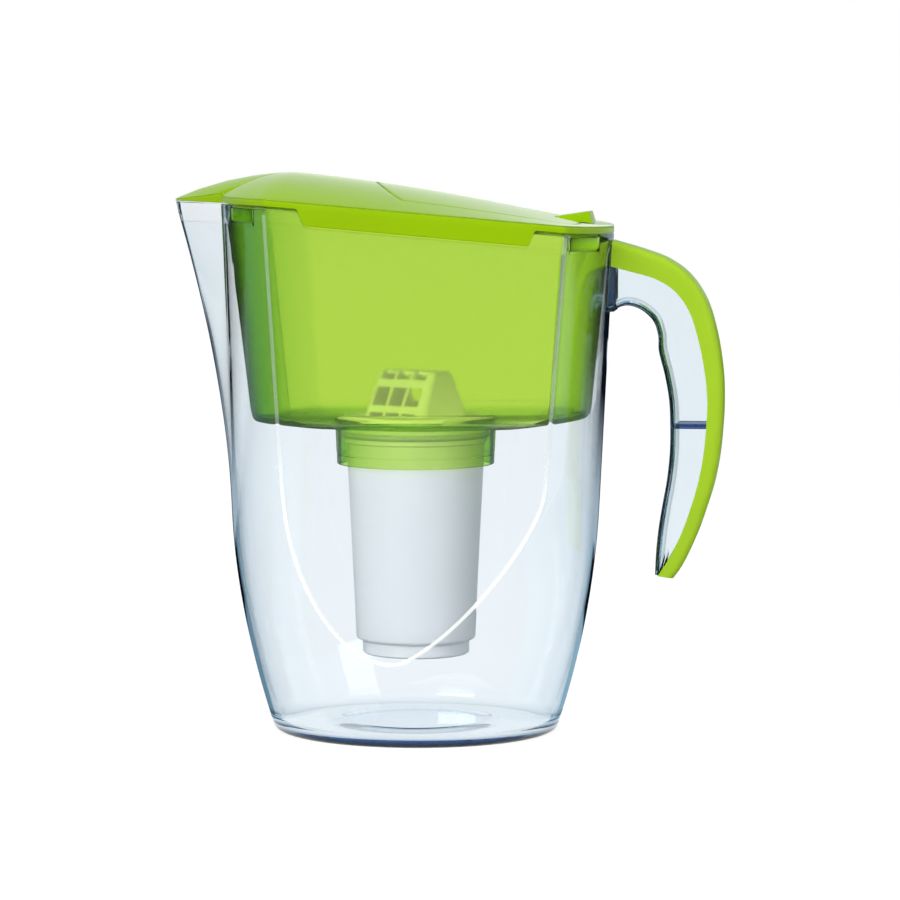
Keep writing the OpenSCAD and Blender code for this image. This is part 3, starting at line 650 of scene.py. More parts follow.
def jug_body():
    foot = jug_ring(0, 2.6)
    slope = [(FOOT_STEP - STEP_RUN * u, FOOT_RECESS * float(ease(u)))
             for u in np.linspace(0, 1, 9)]
    rings = [circle_ring(foot, 1.0, FOOT_RECESS)]
    rings += [circle_ring(foot, r, z) for r, z in slope[::-1]]
    rings += [foot] + [jug_ring(h, w) for h, w in FOOT_ROUND]
    heights = np.concatenate([[3, 5, 8], np.arange(12, 235, 4.0)])
    rings += [jug_ring(h, 0) for h in heights]
    base = rim_ring(REBATE_H, 0)
    thin = WALL - REBATE

    def rim_face(w, share, lift=0.0):
        z = RIM_Z - lerp(REBATE_H, RIM_DIP, share)
        ring = inset(rounded(stack(*outline(z, 0), z)), w)
        ring[:, 2] = z + lift
        return ring

    rings.append(base)
    rings += [rim_face(0, share) for share in (0.3, 0.6, 0.9)]
    rings += [rim_face(0.04, 1, -0.2), rim_face(0.25, 1), rim_face(thin - 0.25, 1)]
    rings += [rim_face(thin, 1, -0.2), rim_face(thin, 0.5), rim_face(thin, 0.0, 0.02)]
    rings.append(inset(rim_ring(REBATE_H, 0), GLASS_T))
    rings += [inner_ring(h, GLASS_T) for h in heights[:1:-1]]
    rings += [inner_ring(FLOOR_T + up, GLASS_T + more)
              for up, more in ((2.4, 0.5), (1.3, 1.1), (0.5, 2.2), (0, 4.6))]
    rings += [circle_ring(foot, r, z + FLOOR_T) for r, z in slope]
    rings.append(circle_ring(foot, 1.0, FLOOR_T + FOOT_RECESS))
    return capped_rings(rings)


place(new_object("jug_glass", *jug_body(), JUG_CLEAR), "jug_body", "jug", "clear_plastic")


def panel_edge_path(side):
    """The U along the edge of a flat side: down the front arm and up the rear arm."""
    turn = np.linspace(0, np.pi / 2, 46)
    z = PANEL_TIP_H + PANEL_ROUND_H * (1 - np.cos(turn))
    straight = np.linspace(PANEL_TIP_H + PANEL_ROUND_H, RIM_H, 40)[1:]
    z_f = np.concatenate([z, straight])
    x_f = mid_at(z_f) - reach_front(z_f)
    z = PANEL_TIP_H + PANEL_ROUND_H * (1 - np.cos(turn) ** (1 / 0.7))
    z_r = np.concatenate([z, straight])
    x_r = mid_at(z_r) + reach_rear(z_r)
    keep_f, keep_r = z_f < rim_at(x_f) - 1.0, z_r < rim_at(x_r) - 1.0
    x = np.concatenate([x_f[keep_f][::-1], x_r[keep_r][1:]])
    z = np.concatenate([z_f[keep_f][::-1], z_r[keep_r][1:]])
    for _ in range(CREASE_SMOOTHING):
        x[1:-1] = (x[:-2] + 2 * x[1:-1] + x[2:]) / 4
        z[1:-1] = (z[:-2] + 2 * z[1:-1] + z[2:]) / 4
    return np.stack([x, side * (side_at(z) - 0.12), z], axis=1)


def face_outward(obj):
    """Turns an open skin so that its faces look away from the jug's axis."""
    outward = sum(p.normal.dot(Vector((*p.center[:2], 0))) for p in obj.data.polygons)
    if outward < 0:
        obj.data.flip_normals()


EDGE_HALF, EDGE_PROUD, CREASE_SMOOTHING = 0.85, 0.1, 12


def panel_edge(side):
    """A low bead along the crease, open on the side where it lies on the wall. Its white glowing
    material is a painted highlight along the crease.
    """
    path = panel_edge_path(side)
    along = np.gradient(path, axis=0)
    along /= np.linalg.norm(along, axis=1)[:, None]
    out = np.array([0.0, side, 0.0])
    across = np.cross(along, out)
    turn = np.linspace(0, np.pi, 9)
    rows = [
        p + np.outer(np.cos(turn), a) * EDGE_HALF + np.outer(np.sin(turn), out) * EDGE_PROUD
        for p, a in zip(path, across)
    ]
    count = len(turn)
    faces = [[a, a + 1, a + count + 1, a + count]
             for k in range(len(rows) - 1) for a in range(k * count, (k + 1) * count - 1)]
    return np.concatenate(rows), faces


for label, side in (("near", -1), ("far", 1)):
    edge = new_object("jug_panel_edge_" + label, *panel_edge(side), EDGE_PAINTED_HIGHLIGHT)
    face_outward(edge)
    place(edge, "jug_body", None, "clear_plastic")


def foot_edge():
    """A painted dark line at the foot: a dark sheet standing in for the dark edge seen where the
    view passes through the thickness of the floor.
    """
    levels = ((0.0, 2.4), *FOOT_ROUND, (3.0, 0.0), (5.0, 0.0))
    rings = [inset(jug_ring(h, w), 0.04) for h, w in levels]
    return np.concatenate(rings), band_faces(RING_N, len(rings))


foot_line = new_object("jug_foot_edge", *foot_edge(), FOOT_PAINTED_DARK_LINE)
face_outward(foot_line)
place(foot_line, "jug_body", None, "clear_plastic")

# ---- Handle: stations along its length, [from the rear wall, below the rim] ----
HANDLE_INNER = np.array(
    [[0, 51], [6.3, 47.6], [12.5, 49.2], [18.6, 54.5], [21.1, 61.5], [21.5, 69], [24.4, 80.5],
     [26.5, 92.5], [27.1, 105], [26.9, 118], [25.5, 131], [23.4, 143], [21.6, 155], [20.6, 166],
     [20.3, 175.5]], float)
HANDLE_OUTER = np.array(
    [[0, 16.7], [14.6, 21], [26, 25.6], [36, 33], [44, 45], [48.9, 61], [51.7, 78.5],
     [52.3, 92.5], [51.8, 105], [50.4, 119.5], [47.9, 132.5], [44.6, 143.5], [40.1, 156.5],
     [34.1, 169.5], [29.1, 176.9]], float)
STATIONS = np.linspace(0, len(HANDLE_INNER) - 1, 127)


def curve_point(points, s):
    last = len(points) - 1
    i = min(int(s), last - 1)
    t = s - i
    p0, p1, p2, p3 = (points[min(last, max(0, i + k))] for k in (-1, 0, 1, 2))
    return 0.5 * (
        2 * p1 + (p2 - p0) * t + (2 * p0 - 5 * p1 + 4 * p2 - p3) * t**2
        + (3 * p1 - p0 - 3 * p2 + p3) * t**3
    )


def handle_point(points, s):
    away, below = curve_point(points, s)
    z = RIM_H - below
    return np.array([REAR_X + away - (REAR_X - rear_at(z)) * (1 - unit(s / 2)), z])


def arc(middle, r, start, stop, count=7):
    """Points of an arc as [across, depth], angles in degrees."""
    turn = np.radians(np.linspace(start, stop, count))
    return [[middle[0] + r * math.cos(t), middle[1] + r * math.sin(t)] for t in turn]


def mirrored(half):
    return half + [[-a, d] for a, d in half[::-1]]


def section_loop(s, out_half, in_half):
    """A thin section at a station, out along one face and back along the other."""
    o, i = handle_point(HANDLE_OUTER, s), handle_point(HANDLE_INNER, s)
    d = (i - o) / np.linalg.norm(i - o)
    pairs = mirrored(out_half) + mirrored(in_half)[::-1]
    return np.array([[o[0] + d[0] * p, across, o[1] + d[1] * p] for across, p in pairs])


CHANNEL_SEAT = COVER_T + COVER_ROUND + 0.2


def channel_half(s, w):
    deep = np.linalg.norm(handle_point(HANDLE_INNER, s) - handle_point(HANDLE_OUTER, s)) - w
    half, r = HANDLE_WID / 2 - w, min(4.6, (deep + w) / 3) - w * 0.6
    return [[half, CHANNEL_SEAT], [half, (CHANNEL_SEAT + deep) / 2]] + arc(
        (half - r, deep - r), r, 0, 90)


def handle_channel():
    t = WALL * 0.9
    loops = []
    for s in STATIONS:
        loop = section_loop(s, channel_half(s, 0), channel_half(s, t))
        loop[:, 0] -= 1.4 if s < 0.01 else 0.0
        loops.append(loop)
    return swept_strip(loops)


def channel_rib():
    o, i = handle_point(HANDLE_OUTER, 8), handle_point(HANDLE_INNER, 8)
    half = (HANDLE_WID - WALL) / 2
    body = block((i[0] + WALL / 2, -half, RIB_H - 1.2), (o[0] - COVER_T - 1, half, RIB_H + 1.2))
    return beveled(*body, 0.5)


def root_block():
    """The thick glass where the channel runs into the rear wall. Its deep dye is partly the glass's
    own tint and partly painted shade for the dark reflections at the handle's root.
    """
    x, half = rear_at(212.0) - 1.0, HANDLE_WID / 2 - WALL
    body = block((x, -half, 202.0), (x + 4.2, half, 226.0))
    return beveled(*body, 1.6, 4)


def cover_half(s, w):
    half = HANDLE_WID / 2 + COVER_PLAY + COVER_T - w
    r = COVER_ROUND - w * 0.3
    depth = lerp(12.0, 7.4, unit(s / 7))
    return [[half, depth], [half, (depth + w + r) / 2]] + arc(
        (half - r, w + r), r, 0, -90) + [[0.35 * half, w]]


def handle_cover():
    loops = []
    for s in STATIONS:
        loop = section_loop(s, cover_half(s, 0), cover_half(s, COVER_T))
        loop[:, 0] += GAP if s < 0.01 else 0.0
        loops.append(loop)
    return swept_strip(loops)


for name, mesh, material, smooth_deg in (
    ("handle_channel", handle_channel(), HANDLE_CLEAR, 60),
    ("handle_rib", channel_rib(), RIB_CLEAR, 40),
    ("handle_root", root_block(), ROOT_TINT_AND_PAINTED_SHADE, 40),
):
    place(new_object(name, *mesh, material, smooth_deg), "jug_body", "jug", "clear_plastic")
place(new_object("handle_cover_skin", *handle_cover(), LIME_COVER, 60), "jug_body",
      "handle_cover", "lime_plastic")

# ---- Lid: heights of its top over the plan ----
CREST_X, BILL_BACK_X = -57.4, -61.0
TIP_X, ROOT_X = -(FRONT_X + SPOUT_REACH), -(FRONT_X - 2.6)
CREST_Z = RIM_H + CREST_RISE - 0.1


def crest_at(x):
    back = CREST_Z - 0.1 * (x - CREST_X) - 0.00052 * (x - CREST_X) ** 2
    fall = CREST_Z - float(rim_at(TIP_X)) - 1.6
    fore = CREST_Z - fall * (np.maximum(0, CREST_X - x) / (CREST_X - TIP_X)) ** 2
    return np.where(x > CREST_X, back, fore)


def side_top_at(x):
    return rim_at(x) + LID_SIDE


def plan_half(x):
    fore = x < PANEL_MID_X
    a = np.where(fore, FRONT_X + PANEL_MID_X, REAR_X - PANEL_MID_X)
    corner = np.where(fore, PANEL_MID_X - CORNER_FRONT_X, CORNER_REAR_X - PANEL_MID_X)
    b = BODY_WID / 2 / np.sqrt(1 - (corner / a) ** 2)
    return np.minimum(
        BODY_WID / 2, b * np.sqrt(np.maximum(0.0001, 1 - ((x - PANEL_MID_X) / a) ** 2)))


def dome(x, y):
    t = unit(np.abs(y) / plan_half(x))
    fore = unit((CREST_X - x) / (CREST_X + FRONT_X))
    top = lerp(crest_at(np.maximum(x, CREST_X)), side_top_at(x) + 0.5, fore**2)
    return lerp(np.maximum(top, side_top_at(x)), side_top_at(x), t * t)


def bill_half(x):
    fore = SPOUT_HALF * unit((x - TIP_X) / (ROOT_X - TIP_X))
    back = SPOUT_HALF * np.sqrt(unit((BILL_BACK_X - x) / (BILL_BACK_X - ROOT_X)))
    return np.where(x < ROOT_X, fore, back)


def bill_edge(x):
    tip, root = float(rim_at(TIP_X)) + 1.6, RIM_H + 6.0
    fore = lerp(tip, root, unit((x - TIP_X) / (ROOT_X - TIP_X)) ** 1.2)
    back = lerp(root, CREST_Z, unit((x - ROOT_X) / (BILL_BACK_X - ROOT_X)) ** 0.8)
    return np.where(x < ROOT_X, fore, back)


def bill(x, y):
    t = np.abs(y) / np.maximum(0.01, bill_half(x))
    edge = bill_edge(x)
    top = lerp(np.maximum(crest_at(x), edge), edge, unit(t) ** 2)
    return np.where((t > 1.02) | (x > BILL_BACK_X), 0, top)


def lid_top(x, y):
    return np.maximum(dome(x, y), bill(x, y))


def top_of(x, y):
    return float(lid_top(np.array([float(x)]), np.array([float(y)]))[0])


# The nose is drawn straighter than the part's ellipse, whose power is 1
NOSE_POWER = 1.6


def hatch_point(w):
    """The hatch's outline on the same columns, drawn in by w."""
    half, bow, rear = HATCH_WID / 2 - w, HATCH_FRONT - w, HATCH_REAR - w
    r = HATCH_CORNER
    turn = np.radians(np.where(KIND == 0, 25 * PLACE, lerp(25, 90, PLACE)))
    round_turn = np.pi * np.minimum(PLACE, 0.5)
    x = np.select(
        [KIND < 2, KIND == 2],
        [-bow * np.cos(turn) ** NOSE_POWER, lerp(0, rear - r, PLACE)],
        rear - r + r * np.sin(round_turn),
    )
    y = np.select(
        [KIND < 2, KIND == 2],
        [half * np.sin(turn) ** NOSE_POWER, np.full(RING_N, half)],
        np.where(PLACE < 0.5, half - r + r * np.cos(round_turn), (half - r) * 2 * (1 - PLACE)),
    )
    return x, SIDE * y


UNDERCUT = 0.6
# The skirt is drawn shorter than the part's, as none shows through the rim in the photograph
SKIRT_T, SKIRT_H = 1.4, 1.2
SKIRT_IN = WALL + 2 * GAP + HOPPER_T
RIM_REST = WALL - REBATE
STEP_UP = 0.3
RIM_EDGE = rounded(stack(*outline(RIM_Z, 0), RIM_Z))
EDGE_TOP = ROUNDING @ np.where(
    KIND == 0, bill_edge(RIM_EDGE[:, 0]), side_top_at(RIM_EDGE[:, 0]))


def roof_ring(v, low, surface=lid_top):
    hx, hy = hatch_point(-GAP - low * UNDERCUT)
    x, y = lerp(RIM_EDGE[:, 0], hx, v), lerp(RIM_EDGE[:, 1], hy, v)
    return stack(x, y, surface(x, y) - low)


def crease_shares():
    """Share of the way from the rim to the hatch at which the bill ends in the dome."""
    places = np.linspace(0.012, 0.9, 900)
    share = np.full(RING_N, places[0])
    for v in places:
        ring = roof_ring(v, 0)
        on_bill = bill(ring[:, 0], ring[:, 1]) >= dome(ring[:, 0], ring[:, 1])
        share = np.where(on_bill & (KIND == 0), v, share)
    return share


CREASE = crease_shares()


def flat_ring(w, up, dips=0.0, spout=1.0):
    ring = rounded(stack(*outline(RIM_Z, w, spout), RIM_Z))
    ring[:, 2] += up - dips * APRON_DIP
    return ring


def side_ring(w, drop):
    """A ring of the side wall, drop below the edge of the roof."""
    ring = rounded(stack(*outline(RIM_Z, w), RIM_Z))
    ring[:, 2] = EDGE_TOP - drop
    return ring


def lid_shell():
    low = flat_ring(0, GAP, 1)
    rings = [flat_ring(0.25, GAP, 1), flat_ring(0, GAP + 0.3, 1)]
    rings += [
        np.column_stack([low[:, :2], lerp(low[:, 2], EDGE_TOP - 1.0, f)]) for f in (0.35, 0.7)
    ]
    rings += [side_ring(0, 0.95), side_ring(0.12, 0.75), side_ring(0.55, 0.62),
              side_ring(0.5, 0.42), side_ring(0.12, 0.3), side_ring(0.14, 0.12)]
    rings += [roof_ring(CREASE * v, 0) for v in (0.2, 0.45, 0.7, 0.9, 0.99)]
    rings += [roof_ring(CREASE, 0), roof_ring(CREASE + 0.006, 0, dome)]
    rings += [roof_ring(lerp(CREASE + 0.006, 0.985, v), 0) for v in np.linspace(0.015, 1, 46)]
    rings += [roof_ring(0.991, 0.1), roof_ring(0.996, 0.3), roof_ring(1, 0.75)]
    rings += [roof_ring(v, SKIN) for v in (1, 0.9, 0.8, 0.7, 0.6, 0.5, 0.4, 0.3, 0.22)]
    skirt = SKIRT_IN + SKIRT_T
    rings += [
        flat_ring(skirt, GAP + 2 * STEP_UP, 0, 0), flat_ring(skirt, -SKIRT_H, 0, 0),
        flat_ring(SKIRT_IN, -SKIRT_H, 0, 0), flat_ring(SKIRT_IN, GAP + STEP_UP, 0, 0),
        flat_ring(RIM_REST + 0.05, GAP + STEP_UP), flat_ring(RIM_REST, GAP, 1),
    ]
    return looped_rings(rings)


HINGE_X, HINGE_DROP = 6.0, 5.3
HINGE_Z = top_of(HINGE_X, HATCH_WID / 2) - HINGE_DROP
BOSS_R, BOSS_T, EAR_R, EAR_T = 3.4, 3.8, 3.2, 3.5
BOSS_IN = HATCH_WID / 2 + GAP + SKIN * UNDERCUT
EAR_OUT = HATCH_WID / 2 - 1


def lug_with_web(r, y0, t, top):
    web = block((HINGE_X - r, y0, HINGE_Z), (HINGE_X + r, y0 + t, top))
    return [drum(HINGE_X, HINGE_Z, r, y0, y0 + t), web]


def bearing(y0, t, top):
    """A boss with a real bore: a ring of quads between the bore and the boss's outline."""
    count = 48
    turn = 2 * np.pi * np.arange(count) / count
    bore = TRUNNION_R + 0.08
    c, s = np.cos(turn), np.sin(turn)
    out_r = np.where(s > 0, BOSS_R / np.maximum(np.abs(c), s * BOSS_R / (top - HINGE_Z)), BOSS_R)
    rings = []
    for r, y in ((bore, y0), (out_r, y0), (out_r, y0 + t), (bore, y0 + t)):
        rings.append(np.stack([HINGE_X + r * c, np.full(count, y), HINGE_Z + r * s], axis=1))
    return looped_rings(rings)


def lid_body():
    top = top_of(HINGE_X + BOSS_R, BOSS_IN + BOSS_T) - 0.5
    return joined([lid_shell(), bearing(BOSS_IN, BOSS_T, top),
                   bearing(-BOSS_IN - BOSS_T, BOSS_T, top)])


place(new_object("lid_shell", *lid_body(), LIME, 35), "lid_body", "lid", "lime_plastic")

# ---- Hatch ----
EDGE_LEAN = 0.5
TAB_RUN, TAB_RISE, TAB_OVER = 14.0, 5.5, 5.5
HATCH_MID_X = 30.0


def hatch_ring(v, w, low):
    hx, hy = hatch_point(w)
    x, y = lerp(HATCH_MID_X, hx, v), hy * v
    return stack(x, y, lid_top(x, y) - low)


def hatch_skin():
    steps = np.linspace(0.03, 0.985, 34)
    rings = [hatch_ring(v, EDGE_LEAN, SKIN) for v in np.linspace(0.03, 1, 18)]
    rings += [hatch_ring(1, 0, 0.75), hatch_ring(0.996, 0, 0.3), hatch_ring(0.991, 0, 0.1)]
    rings += [hatch_ring(v, 0, 0) for v in steps[::-1]]
    return capped_rings(rings)


def tab_body():
    x = HATCH_REAR
    peak = top_of(x, 0) + TAB_RISE
    profile = [
        (x - TAB_RUN, top_of(x - TAB_RUN, 0) - 0.5), (x + 2.4, peak - 0.3), (x + 3.2, peak),
        (x + 3.9, peak - 0.4), (x + TAB_OVER, top_of(x + TAB_OVER, 0) + GAP),
        (x - 0.2, top_of(x, 0) + GAP), (x - 1.6, top_of(x, 0) - 1.0),
    ]
    half = TAB_WID / 2
    count = len(profile)
    verts = [(px, s * half, pz) for s in (-1, 1) for px, pz in profile]
    faces = [list(range(count))[::-1], list(range(count, 2 * count))]
    faces += [[j, (j + 1) % count, (j + 1) % count + count, j + count] for j in range(count)]
    return beveled(verts, faces, 0.5)


def hatch_body():
    ear_top = top_of(HINGE_X + EAR_R, EAR_OUT) - 0.8
    parts = [hatch_skin(), tab_body()]
    pin_end = BOSS_IN + BOSS_T - GAP
    for side in (-1, 1):
        y0 = EAR_OUT - EAR_T if side > 0 else -EAR_OUT
        parts += lug_with_web(EAR_R, y0, EAR_T, ear_top)
        ends = (EAR_OUT - EAR_T, pin_end) if side > 0 else (-pin_end, -EAR_OUT + EAR_T)
        parts.append(drum(HINGE_X, HINGE_Z, TRUNNION_R, *ends))
    return joined(parts)


place(new_object("hatch_plate", *hatch_body(), LIME, 35), "hatch_body", "flip_hatch",
      "lime_plastic")

# ---- Hopper ----
BAND_IN = RIM_REST + GAP
BAND_DROP = REBATE_H - GAP - BAND_H
BODY_IN = WALL + GAP
NOSE_DRAW, TAIL_DRAW, SIDE_DRAW = 1.15, 0.8, 1.3
SOCKET_Z = RIM_H - HOPPER_DEEP + 1
COLLAR_T = 2.0
COLLAR_FOOT = SOCKET_Z - 2 - COLLAR_H


def floor_at(x):
    return SOCKET_Z + 0.5 + 0.014 * (x + FRONT_X)


def hopper_ring(s, w, up=0.0):
    ring = rim_ring(REBATE_H, BODY_IN + w, 0)
    x, y = ring[:, 0], ring[:, 1]
    pull = np.where(x < 0, NOSE_DRAW * HOPPER_DRAW / FRONT_X, TAIL_DRAW * HOPPER_DRAW / REAR_X)
    x, y = x * (1 - pull * s), y * (1 - SIDE_DRAW * HOPPER_DRAW * s / (BODY_WID / 2))
    return stack(x, y, lerp(RIM_Z - REBATE_H, floor_at(x), s) + up)


def floor_ring(v, w, up):
    ring = hopper_ring(1, w)
    r = COLLAR_R + 1
    x, y = ring[:, 0], ring[:, 1]
    d = np.hypot(x, y)
    z = lerp(floor_at(x), SOCKET_Z - HOPPER_T, 1 - (1 - v) ** 2)
    return stack(lerp(x, x * r / d, v), lerp(y, y * r / d, v), z + up)


# The bow at the front is drawn thicker, as its tint is deeper in the photograph
BOW_T = 2.6
HOPPER_WALL = (ROUNDING @ np.where(KIND <= 1, BOW_T, HOPPER_T))[:, None]


def hopper_shell():
    rings = [floor_ring(v, 2.6, 0) for v in (1, 0.75, 0.5, 0.3, 0.15, 0.06)]
    rings += [hopper_ring(1, 2.6), hopper_ring(1, 1.5, 0.25), hopper_ring(1, 0.7, 0.9),
              hopper_ring(1, 0.2, 1.8), hopper_ring(1, 0.02, 2.8)]
    heights = np.linspace(0.95, 0.02, 26)
    rings += [hopper_ring(s, 0) for s in heights]
    rings += [hopper_ring(0, 0), rim_ring(BAND_DROP + BAND_H - 1.5, (BAND_IN + BODY_IN) / 2, 0),
              rim_ring(BAND_DROP + BAND_H - 3.0, BAND_IN, 0),
              rim_ring(BAND_DROP + BAND_H / 3, BAND_IN, 0),
              rim_ring(BAND_DROP + 0.3, BAND_IN, 0), rim_ring(BAND_DROP, BAND_IN + 0.3, 0),
              rim_ring(BAND_DROP, BAND_IN + HOPPER_T - 0.3, 0),
              rim_ring(BAND_DROP + 0.3, BAND_IN + HOPPER_T, 0),
              rim_ring(BAND_DROP + BAND_H, BODY_IN + HOPPER_T, 0)]
    rings += [inset(hopper_ring(s, 0), HOPPER_WALL) for s in heights[::-1]]
    rings += [inset(hopper_ring(1, 0, up), HOPPER_WALL + more)
              for more, up in ((0.1, 4.6), (0.5, 3.2), (1.3, 2.4))]
    rings += [floor_ring(v, 2.6, HOPPER_T) for v in (0.15, 0.3, 0.5, 0.75, 1)]
    return looped_rings(rings)


def socket_collar():
    r, groove = COLLAR_R + COLLAR_T, COLLAR_FOOT + 5
    return lathe([
        (COLLAR_R, COLLAR_FOOT + 0.3), (COLLAR_R + 0.3, COLLAR_FOOT),
        (r - 0.6, COLLAR_FOOT), (r - 0.3, COLLAR_FOOT + 0.3), (r - 0.1, groove - 0.4),
        (r - 0.5, groove - 0.2), (r - 0.5, groove + 0.4), (r, groove + 0.6),
        (r + 0.5, SOCKET_Z - 2.2), (r + 0.5, SOCKET_Z - 0.3), (r + 0.2, SOCKET_Z),
        (COLLAR_R + 0.3, SOCKET_Z), (COLLAR_R, SOCKET_Z - 0.3),
    ])


def seat_lug(kind, side):
    """A block on the hopper's band that fills a pocket of the jug's rim."""
    low, high = LUG_SPANS[kind]
    z = RIM_H if kind == 1 else float(rim_at(REAR_X - 10))
    x, y = outline(z, 0, 1.0, np.array([kind, kind]), np.array([low, high]),
                   np.array([side, side], float))
    a, b = np.array([x[0], y[0]]), np.array([x[1], y[1]])
    m = (a + b) / 2
    length = np.linalg.norm(b - a) - 2 * GAP
    along = (b - a) / np.linalg.norm(b - a)
    out = np.array([-along[1], along[0]]) * side
    top = float(rim_at(m[0]))
    body, faces = beveled(*block((-length / 2, -BAND_IN - LUG_ROOT, GAP - POCKET_DEEP),
                                 (length / 2, 0, -LUG_DROP)), 0.3, 2)
    flat = m + np.outer(body[:, 0], along) + np.outer(body[:, 1], out)
    return np.column_stack([flat, body[:, 2] + top]), faces


HOPPER_PARTS = (
    ("hopper_shell", hopper_shell(), HOPPER_TINT),
    ("hopper_collar", socket_collar(), COLLAR_TINT),
    ("hopper_lugs", joined([seat_lug(kind, side) for kind in (1, 3) for side in (-1, 1)]),
     LUG_TINT),
)
for name, (verts, faces), tint in HOPPER_PARTS:
    place(new_object(name, verts, faces, tint), "hopper_body", "hopper", "tinted_plastic")

# ---- Cartridge ----
FLANGE_Z = SOCKET_Z + GAP
FLANGE_T, FLANGE_R = 1.2, COLLAR_R + 1.5
NECK_R, NECK_H = COLLAR_R - 1.8, 10.0
BODY_FOOT_Z = FLANGE_Z - CARTRIDGE_DEEP + FOOT_H
SEAL_Z, SEAL_H = FLANGE_Z - 7.4, 3.0
OUTLET_R = FOOT_R - 2


def shell_r(z):
    t = unit((z - BODY_FOOT_Z) / (FLANGE_Z - NECK_H - BODY_FOOT_Z))
    return float(lerp(BODY_LOW_R, BODY_TOP_R, t**1.1))


def cartridge_shell():
    t = CARTRIDGE_T
    low, neck = BODY_FOOT_Z, FLANGE_Z - NECK_H
    levels = np.linspace(low + 2, neck, 12)
    profile = [(OUTLET_R, low), (BODY_LOW_R - 2.2, low), (BODY_LOW_R - 1.2, low + 0.15),
               (BODY_LOW_R - 0.5, low + 0.6), (BODY_LOW_R - 0.05, low + 1.4)]
    profile += [(shell_r(z), z) for z in levels]
    profile += [(NECK_R, neck + 0.6), (NECK_R, SEAL_Z), (NECK_R - 0.8, SEAL_Z),
                (NECK_R - 0.8, SEAL_Z + SEAL_H), (NECK_R, SEAL_Z + SEAL_H), (NECK_R, FLANGE_Z),
                (FLANGE_R - 0.2, FLANGE_Z), (FLANGE_R, FLANGE_Z + 0.2),
                (FLANGE_R, FLANGE_Z + FLANGE_T - 0.5), (FLANGE_R - 0.5, FLANGE_Z + FLANGE_T),
                (NECK_R - t - 1, FLANGE_Z + FLANGE_T), (NECK_R - t - 1, neck + 0.6)]
    profile += [(shell_r(z) - t, z - 0.2) for z in levels[::-1]]
    profile += [(OUTLET_R, low + t)]
    return lathe(profile, 192)


place(new_object("cartridge_cup", *cartridge_shell(), WHITE, 30), "cartridge_body",
      "cartridge_shell", "white_plastic")

# ---- Floor, light and camera ----
def sees_background(tree):
    """1 for rays that show the white background: camera rays, and glossy and transmission
    rays that have met no matt surface yet. The light on the object comes by the other rays."""
    shows = light_path(tree, "Is Camera Ray")
    for name in ("Is Glossy Ray", "Is Transmission Ray"):
        shows = math_node(tree, "MAXIMUM", shows, light_path(tree, name))
    first = math_node(tree, "LESS_THAN", light_path(tree, "Diffuse Depth"), 0.5)
    return math_node(tree, "MULTIPLY", shows, first)


FLOOR_TONE, FLOOR_GLOW, FLOOR_HALF = 0.2, 0.9, 6000.0


def sheet_object(name, corners, mat):
    sheet = new_object(name, corners, [[0, 1, 2, 3]], mat)
    return sheet


def stage_floor():
    corners = [(x * FLOOR_HALF, y * FLOOR_HALF, 0) for x, y in ((-1, -1), (1, -1), (1, 1), (-1, 1))]
    mat, tree, shader, out = node_material("stage_white")
    tones = (FLOOR_TONE - 0.01,) * 3, (FLOOR_TONE + 0.01,) * 3
    pale = two_tone(tree, spread(tree, noise(tree, 3.0), 0.0, 1.0), *tones)
    set_inputs(tree, shader, Base_Color=pale, Roughness=0.9, Specular_IOR_Level=0.0)
    shown = math_node(tree, "MULTIPLY", sees_background(tree), FLOOR_GLOW)
    glow = add_node(tree, "Emission", Strength=shown)
    total = add_node(tree, "AddShader")
    feed(tree, total.inputs[0], shader.outputs["BSDF"])
    feed(tree, total.inputs[1], glow.outputs["Emission"])
    set_inputs(tree, out, Surface=total.outputs["Shader"])
    sheet_object("stage_floor", corners, mat)


stage_floor()

# The light from all round, at the horizon and overhead
AMBIENT_LOW, AMBIENT_HIGH = 0.95, 0.4


def studio_world():
    world = bpy.data.worlds.new("studio")
    bpy.context.scene.world = world
    world.use_nodes = True
    tree = world.node_tree
    tree.nodes.clear()
    fall = map_range(tree, place_along(tree, "Z", "Generated"), (0.0, 1.0),
                     (AMBIENT_LOW, AMBIENT_HIGH))
    ambient = add_node(tree, "Background", Color=(0.96, 0.98, 1.0, 1), Strength=fall)
    card = add_node(tree, "Background", Color=(1, 1, 1, 1), Strength=1.0)
    mix_surface(tree, add_node(tree, "OutputWorld"), sees_background(tree), ambient, card)


studio_world()


def bounce_flag(name, corners, tone, rise=None):
    """A dark side of the studio that gives and takes no light. Only light paths that have met
    a gloss show it. With rise it has rise's third at the first height and its own tone at the
    second."""
    mat, tree, shader, out = node_material(name)
    tree.nodes.remove(shader)
    if rise:
        start, stop, low_tone = rise
        up = map_range(tree, place_along(tree, "Z"), (start * MM, stop * MM), (0.0, 1.0))
        color = two_tone(tree, up, low_tone, tone)
    else:
        dark, light = tuple(0.9 * c for c in tone), tuple(1.1 * c for c in tone)
        color = two_tone(tree, spread(tree, noise(tree, 2.0), 0.0, 1.0), dark, light)
    met_gloss = math_node(tree, "GREATER_THAN", light_path(tree, "Glossy Depth"), 0.5)
    mix_surface(tree, out, met_gloss, add_node(tree, "BsdfTransparent"),
                add_node(tree, "Emission", Color=color))
    sheet = sheet_object(name, corners, mat)
    sheet.visible_camera = sheet.visible_diffuse = sheet.visible_shadow = False


FRONT_TONE, BACK_TONE = (0.3, 0.33, 0.36), (0.4, 0.5, 0.58)
LEFT_TONE, RIGHT_TONE = (0.15, 0.27, 0.36), (0.3, 0.48, 0.6)
BOUNCE_X, BOUNCE_FRONT, BOUNCE_BACK, BOUNCE_TOP = 1600.0, -2300.0, 2500.0, 1500.0


def standing(x0, y0, x1, y1):
    return [(x0, y0, 1), (x1, y1, 1), (x1, y1, BOUNCE_TOP), (x0, y0, BOUNCE_TOP)]


def lying(x0, y0, x1, y1):
    return [(x0, y0, 2), (x1, y0, 2), (x1, y1, 2), (x0, y1, 2)]


